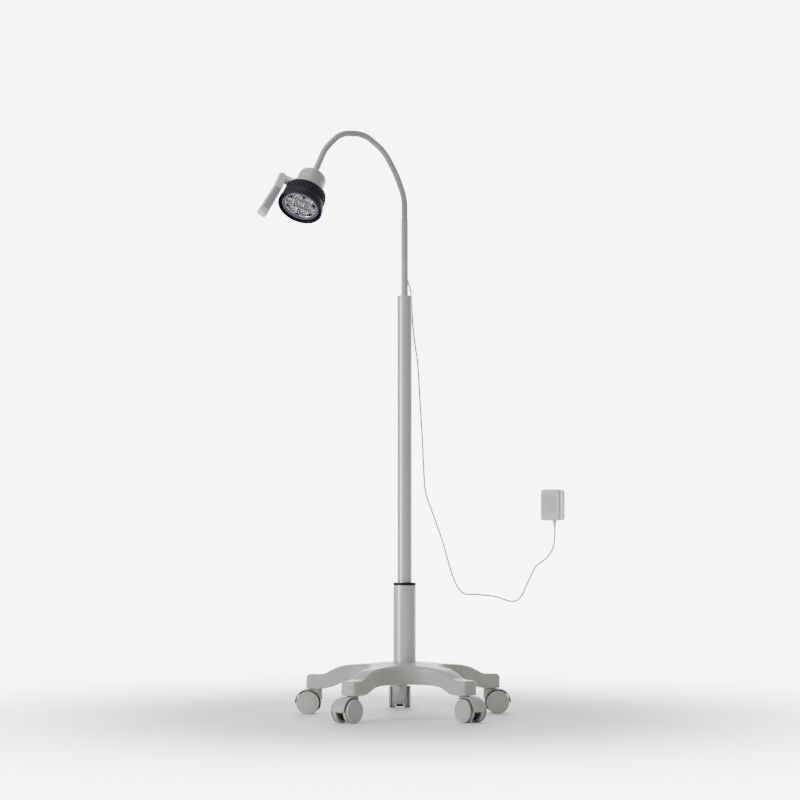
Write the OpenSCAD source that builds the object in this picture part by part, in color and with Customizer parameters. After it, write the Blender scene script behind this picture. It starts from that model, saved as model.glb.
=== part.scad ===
// Mobile examination and surgical light on a five-leg caster base.
// Millimetres. +Z is up, the origin is on the floor under the column's axis,
// the lamp head hangs towards -X and the user stands at -Y.

/* [Base] */
// Radius of the circle that the caster stems stand on
stem_circle_r = 200; // [185:1:240]
// Width of a leg
leg_w = 38; // [34:1:44]
// Radius of the concave wall between two legs
leg_fillet_r = 70; // [50:1:80]
// How far a leg reaches past its stem
leg_over = 20; // [18:1:26]
// Height of a leg's tip, from its underside to its top
leg_tip_h = 32; // [28:1:40]
// Height of the hub's top above the leg tips' tops
hub_rise = 30; // [20:1:45]
// Height of the arch under the hub, above the leg tips' undersides
arch_h = 16; // [8:1:18]
// Wall of the moulded base
base_wall = 4; // [3:0.5:5]
// Depth of the stepped edge along the legs' tops
ledge = 3; // [2:0.5:4]
// Turn of the base about the column, in degrees
base_yaw = 3; // [-36:1:36]

/* [Casters] */
// Diameter of a wheel
wheel_d = 50; // [40:1:60]
// Width of one wheel
wheel_w = 15.5; // [12:0.5:18]
// Gap between the two wheels of a caster
wheel_gap = 19; // [17:0.5:24]
// Distance from the stem's axis to the axle
caster_trail = 18.5; // [15:0.5:22]
// Width of the hood over the wheels
hood_w = 34; // [30:1:40]
// Diameter of the stem
stem_d = 11; // [8:0.5:12]
// Length of the stem above the hood
stem_grip = 22; // [18:1:25]
// Diameter of the axle
axle_d = 8; // [6:0.5:9]

/* [Column and pole] */
// Outer diameter of the column
column_d = 50; // [44:1:60]
// Wall of the column
column_wall = 2.5; // [1.5:0.5:4]
// Height of the column above the hub
column_show = 164.5; // [140:0.5:240]
// Height of the clamping collar on the column
collar_h = 6; // [4:0.5:12]
// Outer diameter of the pole
pole_d = 32; // [28:1:36]
// Wall of the pole
pole_wall = 2; // [1.5:0.5:3]
// Height of the pole above the collar
pole_show = 626; // [500:1:800]
// Height of the cap on the pole
pole_cap_h = 13; // [8:1:24]
// Height of the guide at the pole's foot
guide_h = 30; // [20:1:40]

/* [Neck] */
// Diameter of the rigid neck post
post_d = 15; // [14:0.5:18]
// Height of the neck post, from the pole's top to the first joint
post_show = 187.5; // [120:0.5:240]
// Diameter of the flexible neck
neck_d = 13.5; // [13:0.5:15]
// Length of one neck link along its middle
link_len = 56; // [50:1:70]
// Length of the neck's stiff end in front of the last joint
neck_end_len = 53; // [40:1:70]
// Diameter of a link's ball
ball_d = 10; // [9:0.25:10.5]
// Diameter of the wire passage through the neck
wire_d = 4; // [3:0.5:4.5]

/* [Head] */
// Diameter of the rear housing
housing_d = 61; // [58:1:70]
// Length of the head, from its rear face to the focus ring's rim
head_len = 95; // [90:1:110]
// Wall of the housing
shell_wall = 2.5; // [2:0.25:3]
// Diameter of the focus ring at its rim
ring_d = 98; // [96:1:110]
// Diameter of the barrel that the focus ring turns on
barrel_d = 82; // [80:0.2:84]
// Diameter of the trim ring in front of the barrel
trim_d = 86; // [85:0.2:88]
// Diameter of the lens group
lens_group_d = 70.8; // [68:0.2:72]
// Turn of the head about its own axis, in degrees
head_roll = -18; // [-180:1:180]

/* [Handle] */
// Gap between the focus ring and the handle
handle_gap = 3; // [2:0.5:10]
// Length of the grip
grip_len = 85; // [60:1:110]
// Width of the grip at its root
grip_w = 18; // [14:1:22]
// Thickness of the grip
grip_t = 16; // [12:1:20]
// Outward lean of the grip, in degrees
grip_lean = 6; // [0:1:15]
// Diameter of the dimmer knob
knob_d = 12; // [9:0.5:15]

/* [Wall adapter and cord] */
// Width of the adapter
adapter_w = 44.4; // [38:0.2:56]
// Height of the adapter
adapter_h = 68; // [56:1:84]
// Depth of the adapter
adapter_depth = 40; // [32:1:48]
// Diameter of the power cord
cord_d = 3.6; // [3:0.1:5]
// Diameter of a plug pin
plug_pin_d = 4; // [3.5:0.1:5]
// Length of a plug pin
plug_pin_len = 19; // [15:0.5:22]

/* [Hidden] */
$fn = 64;
FIVE = 5;
STEP = 360 / FIVE;
EPS = 0.01;
// clearance of a running fit, and of parts that pass each other, on the radius
run_fit = 0.05;
pass_fit = 0.4;

// heights
leg_bottom_z = wheel_d + 6;
leg_top_z = leg_bottom_z + leg_tip_h;
hub_top_z = leg_top_z + hub_rise;
hub_bottom_z = leg_bottom_z + arch_h;
column_top_z = hub_top_z + column_show;
collar_top_z = column_top_z + collar_h;
pole_top_z = collar_top_z + pole_show;
neck_root_z = pole_top_z + post_show;

// legs and casters: the way each leg points and the way each caster trails
leg_angles = [for (i = [0:FIVE - 1]) base_yaw - 126 + STEP * i];
trail_angles = [-130, -50, 0, 90, 180];
leg_end_r = stem_circle_r + leg_over;
tip_corner_r = 8;
wall_bite = 0.1;
hub_boss_r = column_d / 2 + 6;
stem_boss_r = stem_d / 2 + 5;
socket_wall = 1.5;
rib_t = 2.5;

// caster
hood_top_z = leg_bottom_z - 1;
hood_in_r = wheel_d / 2 + 1.2;
hood_out_r = hood_in_r + 2.8;
web_w = wheel_gap - 2;
hub_cap = 2.7;
hood_boss_r = stem_d / 2 + 7.5;
stem_sink = 26;
axle_len = wheel_gap + 2 * (wheel_w - hub_cap) - 1;

// column and pole
plug_flange_h = 4;
plug_spigot_h = 16;
plug_bolt_r = 4.2;
column_bottom_z = hub_bottom_z + plug_flange_h;
collar_skirt = 20;
guide_bottom_z = column_bottom_z + 24;
guide_top_z = guide_bottom_z + guide_h;
guide_spigot = 40;
pole_bottom_z = guide_top_z + 0.3;
pole_in_r = pole_d / 2 - pole_wall;
cap_spigot = 22;

// neck: how far each link bends, and how far its plane turns from the one before
link_turn = [20, 10, 24, 40, 40, 20];
link_roll = [14, 9, 5, 5, -3, 39];
LINKS = len(link_turn);
link_root = 7;
link_tip = 8;
ball_r = ball_d / 2;
cup_r = ball_r + 0.3;
cup_rim = 1.5;
neck_cone = 6.5;
ball_stem_r = wire_d / 2 + 1;
post_taper_z = neck_root_z - 20;

function turn_z(a) = [[cos(a), -sin(a), 0, 0], [sin(a), cos(a), 0, 0], [0, 0, 1, 0], [0, 0, 0, 1]];
function lean_y(a) = [[cos(a), 0, -sin(a), 0], [0, 1, 0, 0], [sin(a), 0, cos(a), 0], [0, 0, 0, 1]];
function shift(p) = [[1, 0, 0, p[0]], [0, 1, 0, p[1]], [0, 0, 1, p[2]], [0, 0, 0, 1]];
function arc_r(i) = (link_len - link_root - link_tip) / (link_turn[i] * PI / 180);
// the curved middle laps into the straight ends by half a millimetre
function arc_lap(i) = 0.5 / arc_r(i) * 180 / PI;
function arc_end(i) = [-arc_r(i) * (1 - cos(link_turn[i])), 0, arc_r(i) * sin(link_turn[i])];
// frame at the start of link i, already turned into that link's bending plane
function link_frame(i) = i == 0
    ? shift([0, 0, neck_root_z]) * turn_z(link_roll[0])
    : link_end(i - 1) * turn_z(i < LINKS ? link_roll[i] : 0);
function link_end(i) = link_frame(i) * shift([0, 0, link_root]) * shift(arc_end(i))
    * lean_y(link_turn[i]) * shift([0, 0, link_tip]);
head_frame = link_frame(LINKS) * shift([0, 0, neck_end_len]) * turn_z(head_roll);

// head, measured along its axis from its rear face
flange_z = 48;
ring_rear_z = 52.3;
rim_z = head_len;
flange_r = ring_d / 2 - 5.4;
barrel_r = barrel_d / 2;
bore_r = barrel_r - 3;
trim_in_r = lens_group_d / 2 + 0.5;
trim_z = rim_z - 6;
trim_h = 3.5;
lip_w = 3;
lens_front_z = rim_z - 5.5;
lens_wall = 1.9;
lens_edge = 1.1;
lens_d = (lens_group_d - 2 * (lens_wall + lens_edge)) / 3;
lens_circle_r = lens_d + lens_wall;
lens_rear_r = 5;
sink_rear_z = 26;
sink_z = flange_z + 2.5;
board_z = sink_z + 5;
board_h = 1.6;
driver_z = sink_rear_z - 10;
chip_z = board_z + board_h;
chip_h = 2.5;
holder_rear_z = chip_z + 6;
holder_flange = 8;
lens_rear_z = holder_rear_z + 3;
lens_h = lens_front_z - 0.5 - lens_rear_z;
lens_cone_h = lens_h - 3;
RIBS = 36;
handle_turn = 12;
arm_z = flange_z - 4;
corner_z = flange_z + 30;
handle_r = ring_d / 2 + handle_gap + grip_w / 2;

// wall adapter: middle of the body, and the way that its front faces
adapter_at = [324, 15, 457];
adapter_yaw = 22;
relief_len = 14;
pin_spacing = 19;
pin_rise = 10;
pin_root = 6;
pin_root_r = plug_pin_d / 2 - 0.5;
pin_neck = 0.4;
pin_tip = 0.8;
shell_t = 2.5;
front_share = 0.6;
adapter_bottom_z = adapter_at[2] - adapter_h / 2;

// power cord: inlet on the back of the neck post, then down beside the pole;
// its upper points keep their height below the pole's top
inlet_at = [1, 13, pole_top_z + 70.5];
cord_end = [328, 15, adapter_bottom_z - relief_len];
function from_top(x, y, drop) = [x, y, pole_top_z - drop];
cord_points = [
    inlet_at, from_top(1.5, 13.5, -57.5), from_top(5, 14.5, -40.5), from_top(10, 16, -25.5),
    from_top(13.5, 17, -10.5), from_top(15.5, 17, 9.5), from_top(16.5, 15.5, 34.5),
    from_top(19.5, 13, 77.5), from_top(24, 11, 114.5), from_top(29, 10, 150.5),
    [34, 9, 681], [38.5, 8, 608], [42.5, 7, 521], [46.5, 7, 482], [58, 7, 448],
    [82, 8, 380], [99, 9, 321], [113, 10, 283], [130, 11, 264], [156, 12, 262],
    [199, 13, 257], [233, 14, 247], [253, 15, 256], [270, 15, 290], [287, 15, 323],
    [310, 15, 341], [324, 15, 362], [328, 15, 388], cord_end
];
CORD_RINGS = 76;
CORD_SIDES = 8;

// ---- shared shapes ----

module tube(r_out, r_in, h) {
    difference() {
        cylinder(r = r_out, h = h);
        translate([0, 0, -1]) cylinder(r = r_in, h = h + 2);
    }
}

module rounded_rect(w, h, r) {
    union() {
        square([w - 2 * r, h], center = true);
        square([w, h - 2 * r], center = true);
        for (x = [-1, 1], y = [-1, 1])
            translate([x * (w / 2 - r), y * (h / 2 - r)]) circle(r = r);
    }
}

module at_leg(i) {
    rotate(leg_angles[i]) translate([stem_circle_r, 0, 0]) children();
}

module at_caster(i) {
    rotate(leg_angles[i]) translate([stem_circle_r, 0, 0])
        rotate(trail_angles[i] - leg_angles[i]) children();
}

module at_head() {
    multmatrix(head_frame) children();
}

// ---- base ----

// plan of the base, drawn in by inset all round; the concave walls bite into
// the legs' sides, so that they meet at an edge
module star_plan(inset) {
    w = leg_w / 2 - inset;
    fillet = leg_fillet_r + inset;
    tangent = (w + fillet) / tan(STEP / 2);
    centre = (w + fillet) / sin(STEP / 2);
    corner = max(tip_corner_r - inset, 1);
    reach = leg_end_r - inset;
    difference() {
        union() {
            for (a = leg_angles) rotate(a) {
                translate([0, -w]) square([reach - corner, 2 * w]);
                translate([reach - 2 * corner, -w + corner]) square([2 * corner, 2 * (w - corner)]);
                for (s = [-1, 1]) translate([reach - corner, s * (w - corner)]) circle(r = corner);
            }
            polygon([for (a = leg_angles, s = [-1, 1])
                [tangent * cos(a) - s * w * sin(a), tangent * sin(a) + s * w * cos(a)]]);
        }
        for (a = leg_angles) rotate(a + STEP / 2) translate([centre, 0]) circle(r = fillet + wall_bite);
    }
}

// outline of the base in section, from its arched underside to drop below its top
module star_section(drop) {
    r = stem_circle_r;
    polygon([
        [0, hub_bottom_z], [r - 63, hub_bottom_z - 2], [r - 40, leg_bottom_z + 6],
        [r - 22, leg_bottom_z], [leg_end_r + 5, leg_bottom_z],
        [leg_end_r + 5, leg_top_z - 2 - drop], [r - 18, leg_top_z - drop],
        [r - 35, leg_top_z + 8 - drop], [r - 53, leg_top_z + 16 - drop],
        [r - 72, leg_top_z + 20 - drop], [r - 100, leg_top_z + 22 - drop],
        [hub_boss_r + 22, hub_top_z - 3 - drop], [0, hub_top_z - drop]
    ]);
}

module star_block(inset, drop) {
    intersection() {
        linear_extrude(height = hub_top_z + 10) star_plan(inset);
        rotate_extrude() star_section(drop);
    }
}

// hollow under the base, open below, left round the ribs and bosses
module star_hollow() {
    translate([0, 0, -base_wall]) difference() {
        intersection() {
            linear_extrude(height = hub_top_z + 10) star_plan(base_wall + ledge);
            union() {
                rotate_extrude() star_section(0);
                cylinder(r = stem_circle_r - 23, h = hub_bottom_z - 2);
            }
        }
        cylinder(r = hub_boss_r, h = hub_top_z + 20);
        for (i = [0:FIVE - 1]) at_leg(i) cylinder(r = stem_boss_r, h = hub_top_z);
        for (a = leg_angles) rotate(a) {
            translate([0, -rib_t / 2, 0]) cube([stem_circle_r, rib_t, hub_top_z]);
            for (x = [70, 120]) translate([x, -leg_w, 0]) cube([rib_t, 2 * leg_w, hub_top_z]);
        }
    }
}

module star_base() {
    color([0.74, 0.73, 0.71]) difference() {
        union() {
            star_block(0, ledge);
            star_block(ledge, 0);
        }
        star_hollow();
        translate([0, 0, -1]) cylinder(r = column_d / 2 + run_fit, h = hub_top_z + 20);
        for (i = [0:FIVE - 1]) at_leg(i) {
            cylinder(r = stem_d / 2 + run_fit + socket_wall, h = leg_bottom_z + stem_grip + 2);
        }
    }
}

module caster_sockets() {
    color("dimgray") for (i = [0:FIVE - 1]) at_leg(i)
        translate([0, 0, leg_bottom_z])
            tube(stem_d / 2 + run_fit + socket_wall, stem_d / 2 + run_fit, stem_grip + 1);
}

module column_tube() {
    color([0.78, 0.78, 0.80]) translate([0, 0, column_bottom_z])
        tube(column_d / 2, column_d / 2 - column_wall, column_top_z - column_bottom_z);
}

// clamping collar: a ring on the column's rim with a skirt inside the tube
module column_collar() {
    skirt_r = column_d / 2 - column_wall;
    color([0.08, 0.08, 0.08]) difference() {
        union() {
            translate([0, 0, column_top_z]) cylinder(r = column_d / 2, h = collar_h - 1);
            translate([0, 0, collar_top_z - 1]) cylinder(r1 = column_d / 2, r2 = column_d / 2 - 1, h = 1);
            translate([0, 0, column_top_z - collar_skirt]) cylinder(r = skirt_r, h = collar_skirt);
        }
        translate([0, 0, column_top_z - collar_skirt - 1])
            cylinder(r = pole_d / 2 + pass_fit, h = collar_skirt + collar_h + 2);
    }
}

// plug that closes the column's foot and draws it up against the hub
module column_plug() {
    color("gray") difference() {
        union() {
            translate([0, 0, hub_bottom_z]) cylinder(r = column_d / 2, h = plug_flange_h);
            translate([0, 0, column_bottom_z]) cylinder(r = column_d / 2 - column_wall, h = plug_spigot_h);
        }
        // bolt hole with a sunk seat for the bolt's head
        translate([0, 0, hub_bottom_z - 1]) cylinder(r = plug_bolt_r, h = 40);
        translate([0, 0, hub_bottom_z - 1]) cylinder(r = plug_bolt_r + 3.8, h = 5);
    }
}

// ---- casters ----

module fender_section() {
    intersection() {
        translate([caster_trail, wheel_d / 2]) difference() {
            circle(r = hood_out_r);
            translate([-60, -60 - sin(30) * hood_out_r]) square([120, 60]);
            translate([0, -60]) square([60, 60]);
        }
        translate([-60, 0]) square([120, hood_top_z]);
    }
}

module caster_hood() {
    taper = 4;
    color([0.70, 0.69, 0.67]) difference() {
        union() {
            intersection() {
                translate([0, hood_w / 2, 0]) rotate([90, 0, 0])
                    linear_extrude(height = hood_w) fender_section();
                translate([-60, 0, 0]) rotate([90, 0, 90]) linear_extrude(height = 120) polygon([
                    [-hood_w / 2, 60], [-hood_w / 2, 38], [-hood_w / 2 + taper, 8],
                    [hood_w / 2 - taper, 8], [hood_w / 2, 38], [hood_w / 2, 60]
                ]);
            }
            translate([0, 0, 30]) cylinder(r = hood_boss_r, h = hood_top_z - 30);
        }
        for (s = [0, 1]) mirror([0, s, 0]) translate([caster_trail, web_w / 2, wheel_d / 2])
            rotate([-90, 0, 0]) cylinder(r = hood_in_r, h = 40);
        // front of the middle web is open, so the wheels show behind it
        translate([caster_trail + axle_d / 2 + 4, -20, 0]) cube([40, 40, wheel_d / 2 + 17]);
        translate([0, 0, hood_top_z - stem_sink]) cylinder(r = stem_d / 2, h = 60);
        translate([caster_trail, 30, wheel_d / 2]) rotate([90, 0, 0]) cylinder(r = axle_d / 2, h = 60);
    }
}

// steel stem and axle of one caster
module caster_pins() {
    color("silver") {
        translate([0, 0, hood_top_z - stem_sink]) cylinder(r = stem_d / 2, h = stem_sink + stem_grip);
        translate([caster_trail, axle_len / 2, wheel_d / 2]) rotate([90, 0, 0])
            cylinder(r = axle_d / 2, h = axle_len);
    }
}

// side is 1 or -1: the wheel's place along the axle
module caster_wheel(side) {
    r = wheel_d / 2;
    bore = axle_d / 2 + run_fit;
    w = wheel_w;
    color([0.66, 0.65, 0.63]) translate([caster_trail, side * wheel_gap / 2, r])
        rotate([-90 * side, 0, 0]) rotate_extrude() polygon([
            [bore, 0], [bore + 4, 0], [bore + 4, w - 6], [r - 5, w - 6], [r - 5, 0], [r - 1, 0],
            [r, 1], [r, w - 2.5], [r - 1.5, w - 1], [r - 3, w - 1], [r - 4, w - 1.6],
            [8, w - 0.2], [0, w], [0, w - hub_cap], [bore, w - hub_cap]
        ]);
}

// ---- lift and pole ----

// bush that slides in the column and carries the pole on its spigot
module pole_guide() {
    color([0.85, 0.85, 0.82]) union() {
        translate([0, 0, guide_bottom_z]) cylinder(r = column_d / 2 - column_wall - run_fit, h = guide_h);
        translate([0, 0, guide_top_z]) cylinder(r = pole_in_r - run_fit, h = guide_spigot);
    }
}

module pole_tube() {
    color([0.78, 0.78, 0.80]) translate([0, 0, pole_bottom_z])
        tube(pole_d / 2, pole_in_r, pole_top_z - pole_cap_h - pole_bottom_z);
}

module pole_cap() {
    color([0.76, 0.76, 0.78]) difference() {
        union() {
            translate([0, 0, pole_top_z - pole_cap_h]) cylinder(r = pole_d / 2, h = pole_cap_h - 1);
            translate([0, 0, pole_top_z - 1]) cylinder(r1 = pole_d / 2, r2 = pole_d / 2 - 1, h = 1);
            translate([0, 0, pole_top_z - pole_cap_h - cap_spigot]) cylinder(r = pole_in_r, h = cap_spigot);
        }
        translate([0, 0, pole_top_z - 80]) cylinder(r = post_d / 2, h = 100);
    }
}

// ---- neck ----

// hollow end of a neck part, open towards +Z, its ball seat centred on the origin
module neck_cup(length) {
    difference() {
        translate([0, 0, -length]) cylinder(r = neck_d / 2, h = length + cup_rim);
        sphere(r = cup_r);
        cylinder(r = sqrt(cup_r * cup_r - cup_rim * cup_rim), h = 10);
        translate([0, 0, -length - 1]) cylinder(r = wire_d / 2, h = length + 1);
    }
}

// ball on the origin with a stem and a cone up to the neck's full diameter
module neck_ball(length) {
    difference() {
        union() {
            sphere(r = ball_r);
            cylinder(r = ball_stem_r, h = 4);
            translate([0, 0, 3]) cylinder(r1 = ball_stem_r, r2 = neck_d / 2, h = neck_cone - 3);
            translate([0, 0, neck_cone]) cylinder(r = neck_d / 2, h = length - neck_cone);
        }
        translate([0, 0, -10]) cylinder(r = wire_d / 2, h = length + 20);
    }
}

module neck_link(i) {
    color([0.70, 0.70, 0.73]) multmatrix(link_frame(i)) union() {
        neck_ball(link_root);
        translate([-arc_r(i), 0, link_root]) rotate([90, 0, 0]) rotate(-arc_lap(i))
            rotate_extrude(angle = link_turn[i] + 2 * arc_lap(i)) translate([arc_r(i), 0]) difference() {
                circle(r = neck_d / 2 - 0.05);
                circle(r = wire_d / 2 + 0.2);
            }
        multmatrix(shift([0, 0, link_root]) * shift(arc_end(i)) * lean_y(link_turn[i])
            * shift([0, 0, link_tip])) neck_cup(link_tip);
    }
}

module neck_post() {
    bottom_z = pole_top_z - pole_cap_h - cap_spigot;
    color([0.74, 0.74, 0.77]) union() {
        translate([0, 0, bottom_z]) tube(post_d / 2, wire_d / 2, post_taper_z - bottom_z);
        translate([0, 0, post_taper_z]) difference() {
            cylinder(r1 = post_d / 2, r2 = neck_d / 2, h = 2);
            translate([0, 0, -1]) cylinder(r = wire_d / 2, h = 4);
        }
        translate([0, 0, neck_root_z]) neck_cup(neck_root_z - post_taper_z - 2);
    }
}

// socket on the back of the post, its mouth facing down
module power_inlet() {
    post_face = post_d / 2 - 1;
    socket_r = cord_d;
    socket_h = 18;
    color([0.3, 0.3, 0.32]) difference() {
        union() {
            translate(inlet_at) cylinder(r = socket_r, h = socket_h);
            translate([inlet_at[0] - socket_r, post_face, inlet_at[2] + socket_h / 3])
                cube([2 * socket_r, inlet_at[1] - post_face, socket_h * 2 / 3]);
        }
        translate([0, 0, pole_top_z]) cylinder(r = post_d / 2, h = post_show);
    }
}

// stiff end of the neck, with the shoulder that clamps the housing
module neck_end() {
    color([0.70, 0.70, 0.73]) multmatrix(link_frame(LINKS)) {
        neck_ball(neck_end_len);
        translate([0, 0, neck_end_len - 1]) tube(9, neck_d / 2, 1);
        translate([0, 0, neck_end_len]) tube(5.5, wire_d / 2, 10);
        translate([0, 0, neck_end_len + shell_wall]) tube(9, 5.5, 4);
    }
}

// ---- head ----

module head_shell() {
    r = housing_d / 2;
    edge = 9;
    color([0.80, 0.80, 0.80]) at_head() rotate_extrude() difference() {
        union() {
            translate([0, edge]) square([r, flange_z - edge]);
            square([r - edge, edge + EPS]);
            translate([r - edge, edge]) circle(r = edge);
            polygon([
                [0, flange_z - 8], [r, flange_z - 8], [flange_r - 2, flange_z - 2], [flange_r, flange_z],
                [flange_r, ring_rear_z - 0.3], [barrel_r, ring_rear_z - 0.3], [barrel_r, trim_z], [0, trim_z]
            ]);
        }
        translate([-2 * r, -5]) square([2 * r, head_len + 10]);
        square([5.5, shell_wall * 2]);
        translate([0, shell_wall]) square([r - edge, edge]);
        translate([0, edge]) square([r - shell_wall, sink_z - edge]);
        translate([0, sink_z]) square([bore_r, head_len]);
    }
}

module heat_sink() {
    r = housing_d / 2 - shell_wall - 1;
    fin = 2.4;
    color("silver") at_head() rotate_extrude() difference() {
        union() {
            translate([0, sink_rear_z]) square([r, sink_z - sink_rear_z]);
            translate([0, sink_z]) square([bore_r, board_z - sink_z]);
        }
        for (k = [0:3]) translate([10, sink_rear_z + fin * (1 + 2 * k)]) square([r, fin]);
        translate([-50, 0]) square([50, head_len]);
    }
}

module driver_board() {
    top_z = driver_z + board_h;
    r = housing_d / 2 - 6.5;
    color("darkgreen") at_head() {
        translate([0, 0, driver_z]) cylinder(r = r, h = board_h);
        translate([-12, -8, top_z]) cube([14, 9, 4]);
        translate([4, 2, top_z]) cube([9, 9, 6]);
        for (k = [0:2]) rotate(120 * k) translate([r - 4, 0, top_z])
            cylinder(r = 2, h = sink_rear_z - top_z);
    }
}

module led_board() {
    color("white") at_head() translate([0, 0, board_z]) cylinder(r = bore_r - 0.5, h = board_h);
}

module at_lenses() {
    children();
    for (k = [0:5]) rotate(60 * k) translate([lens_circle_r, 0, 0]) children();
}

module led_chips() {
    color("khaki") at_head() at_lenses() translate([-2.5, -2.5, chip_z]) cube([5, 5, chip_h]);
}

module lens_holder() {
    color([0.85, 0.85, 0.87]) at_head() difference() {
        union() {
            translate([0, 0, holder_rear_z]) cylinder(r = bore_r - pass_fit, h = holder_flange);
            translate([0, 0, holder_rear_z])
                cylinder(r = lens_group_d / 2, h = lens_front_z - holder_rear_z);
        }
        at_lenses() {
            translate([0, 0, holder_rear_z - 1]) cylinder(r = lens_rear_r, h = 6);
            translate([0, 0, lens_rear_z]) cylinder(r1 = lens_rear_r, r2 = lens_d / 2, h = lens_cone_h);
            translate([0, 0, lens_rear_z + lens_cone_h - EPS]) cylinder(r = lens_d / 2, h = 20);
        }
    }
}

// seven clear collimators, cones with a slightly domed front
module lens_array() {
    r = lens_d / 2;
    color([0.9, 0.95, 1.0]) at_head() at_lenses() translate([0, 0, lens_rear_z]) rotate_extrude() polygon([
        [0, 0], [lens_rear_r, 0], [r, lens_cone_h], [r, lens_h - 1.2], [r - 1, lens_h - 0.6],
        [r / 2, lens_h - 0.1], [0, lens_h]
    ]);
}

module trim_ring() {
    color([0.55, 0.54, 0.62]) at_head() rotate_extrude() polygon([
        [trim_in_r, trim_z], [trim_d / 2, trim_z],
        [trim_d / 2, trim_z + trim_h - 1], [trim_d / 2 - 1, trim_z + trim_h],
        [trim_in_r + 1.5, trim_z + trim_h], [trim_in_r, trim_z + trim_h - 2]
    ]);
}

// knurl: a ring of rounded teeth
module knurl_plan(r_low, r_high) {
    polygon([for (k = [0:RIBS - 1], s = [0:3])
        let (a = (k + s / 4) * 360 / RIBS, r = s < 2 ? r_high : r_low) [r * cos(a), r * sin(a)]]);
}

module focus_ring() {
    r = ring_d / 2;
    rear_r = r - 5;
    inside = barrel_r + pass_fit;
    shoulder_z = trim_z - pass_fit;
    color([0.20, 0.19, 0.24]) at_head() difference() {
        union() {
            rotate_extrude() polygon([
                [inside, ring_rear_z], [rear_r - 1, ring_rear_z], [rear_r, ring_rear_z + 1],
                [rear_r + 0.6, ring_rear_z + 14], [r - 0.8, rim_z - 12], [r, rim_z - 2],
                [r - 1, rim_z], [r - lip_w + 0.5, rim_z], [r - lip_w, rim_z - 1],
                [r - lip_w, shoulder_z], [inside, shoulder_z]
            ]);
            translate([0, 0, ring_rear_z + 2]) linear_extrude(height = 20)
                knurl_plan(rear_r - 1, rear_r + 1.6);
        }
        translate([0, 0, ring_rear_z - 1]) cylinder(r = inside, h = 30);
    }
}

module board_screws() {
    color("silver") at_head() for (k = [0:2]) rotate(120 * k + 60)
        translate([bore_r - 6, 0, chip_z]) cylinder(r = 2.4, h = 1.6);
}

// ---- handle ----

module at_handle() {
    at_head() rotate(-handle_turn) children();
}

module at_grip() {
    at_handle() translate([handle_r, 0, corner_z]) rotate([0, grip_lean, 0]) children();
}

// arm from the housing's flange to the grip, with a seat for the knob
module handle_bracket() {
    block_w = grip_w;
    color([0.84, 0.84, 0.84]) at_handle() difference() {
        union() {
            translate([flange_r - 5, -grip_t / 2, arm_z])
                cube([handle_r - flange_r + 5, grip_t, ring_rear_z - 0.3 - arm_z]);
            translate([handle_r - block_w / 2, -grip_t / 2, arm_z])
                cube([block_w, grip_t, corner_z + 2 - arm_z]);
        }
        // the block ends on the leaning root of the grip
        translate([handle_r, 0, corner_z]) rotate([0, grip_lean, 0])
            translate([-block_w, -grip_t, 0]) cube([2 * block_w, 2 * grip_t, 10]);
        translate([handle_r, 0, arm_z - 1]) cylinder(r = 3, h = 11);
        cylinder(r = flange_r, h = head_len);
        translate([0, 0, flange_z - 8]) cylinder(r1 = housing_d / 2, r2 = flange_r - 2, h = 6);
        translate([0, 0, flange_z - 2]) cylinder(r1 = flange_r - 2, r2 = flange_r, h = 2);
    }
}

module grip_plan(inset) {
    half = grip_w / 2 - inset;
    tip = half + 1.6;
    round = 5 - inset / 2;
    union() {
        polygon([
            [-half, inset], [half, inset],
            [tip, grip_len - round - inset], [-tip, grip_len - round - inset]
        ]);
        translate([-tip + round, grip_len - 2 * round - inset]) square([2 * (tip - round), 2 * round]);
        for (s = [-1, 1]) translate([s * (tip - round), grip_len - round - inset]) circle(r = round);
    }
}

module handle_grip() {
    pad_depth = 1.5;
    color([0.84, 0.84, 0.84]) at_grip() difference() {
        translate([0, grip_t / 2, 0]) rotate([90, 0, 0]) linear_extrude(height = grip_t) grip_plan(0);
        for (s = [-1, 1]) translate([0, s * (grip_t / 2 - pad_depth) + (s > 0 ? 10 : 0), 0])
            rotate([90, 0, 0]) linear_extrude(height = 10) pad_plan(0);
    }
}

module pad_plan(inset) {
    translate([-grip_w / 2 + 2.5 + inset, 3 + inset])
        square([grip_w - 5 - 2 * inset, grip_len - 16 - 2 * inset]);
}

// ribbed inserts on the two flat sides of the grip
module grip_pads() {
    pad_t = 1.4;
    rib_pitch = 4.5;
    color([0.50, 0.50, 0.52]) at_grip() for (s = [0, 1]) mirror([0, s, 0])
        translate([0, grip_t / 2 - 1.5, 0]) difference() {
            translate([0, pad_t, 0]) rotate([90, 0, 0]) linear_extrude(height = pad_t) pad_plan(0.1);
            for (k = [1:14]) translate([-grip_w / 2 + 4, pad_t - 0.5, 3 + k * rib_pitch])
                cube([grip_w - 8, 1, 1.6]);
        }
}

module dimmer_knob() {
    color([0.80, 0.80, 0.80]) at_handle() translate([handle_r, 0, arm_z]) {
        translate([0, 0, -7]) cylinder(r = knob_d / 2, h = 6.6);
        translate([0, 0, -9]) cylinder(r1 = knob_d / 2 - 2, r2 = knob_d / 2, h = 2);
        translate([0, 0, -1]) cylinder(r = 3 - run_fit, h = 10);
    }
}

// ---- power cord and wall adapter ----

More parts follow.
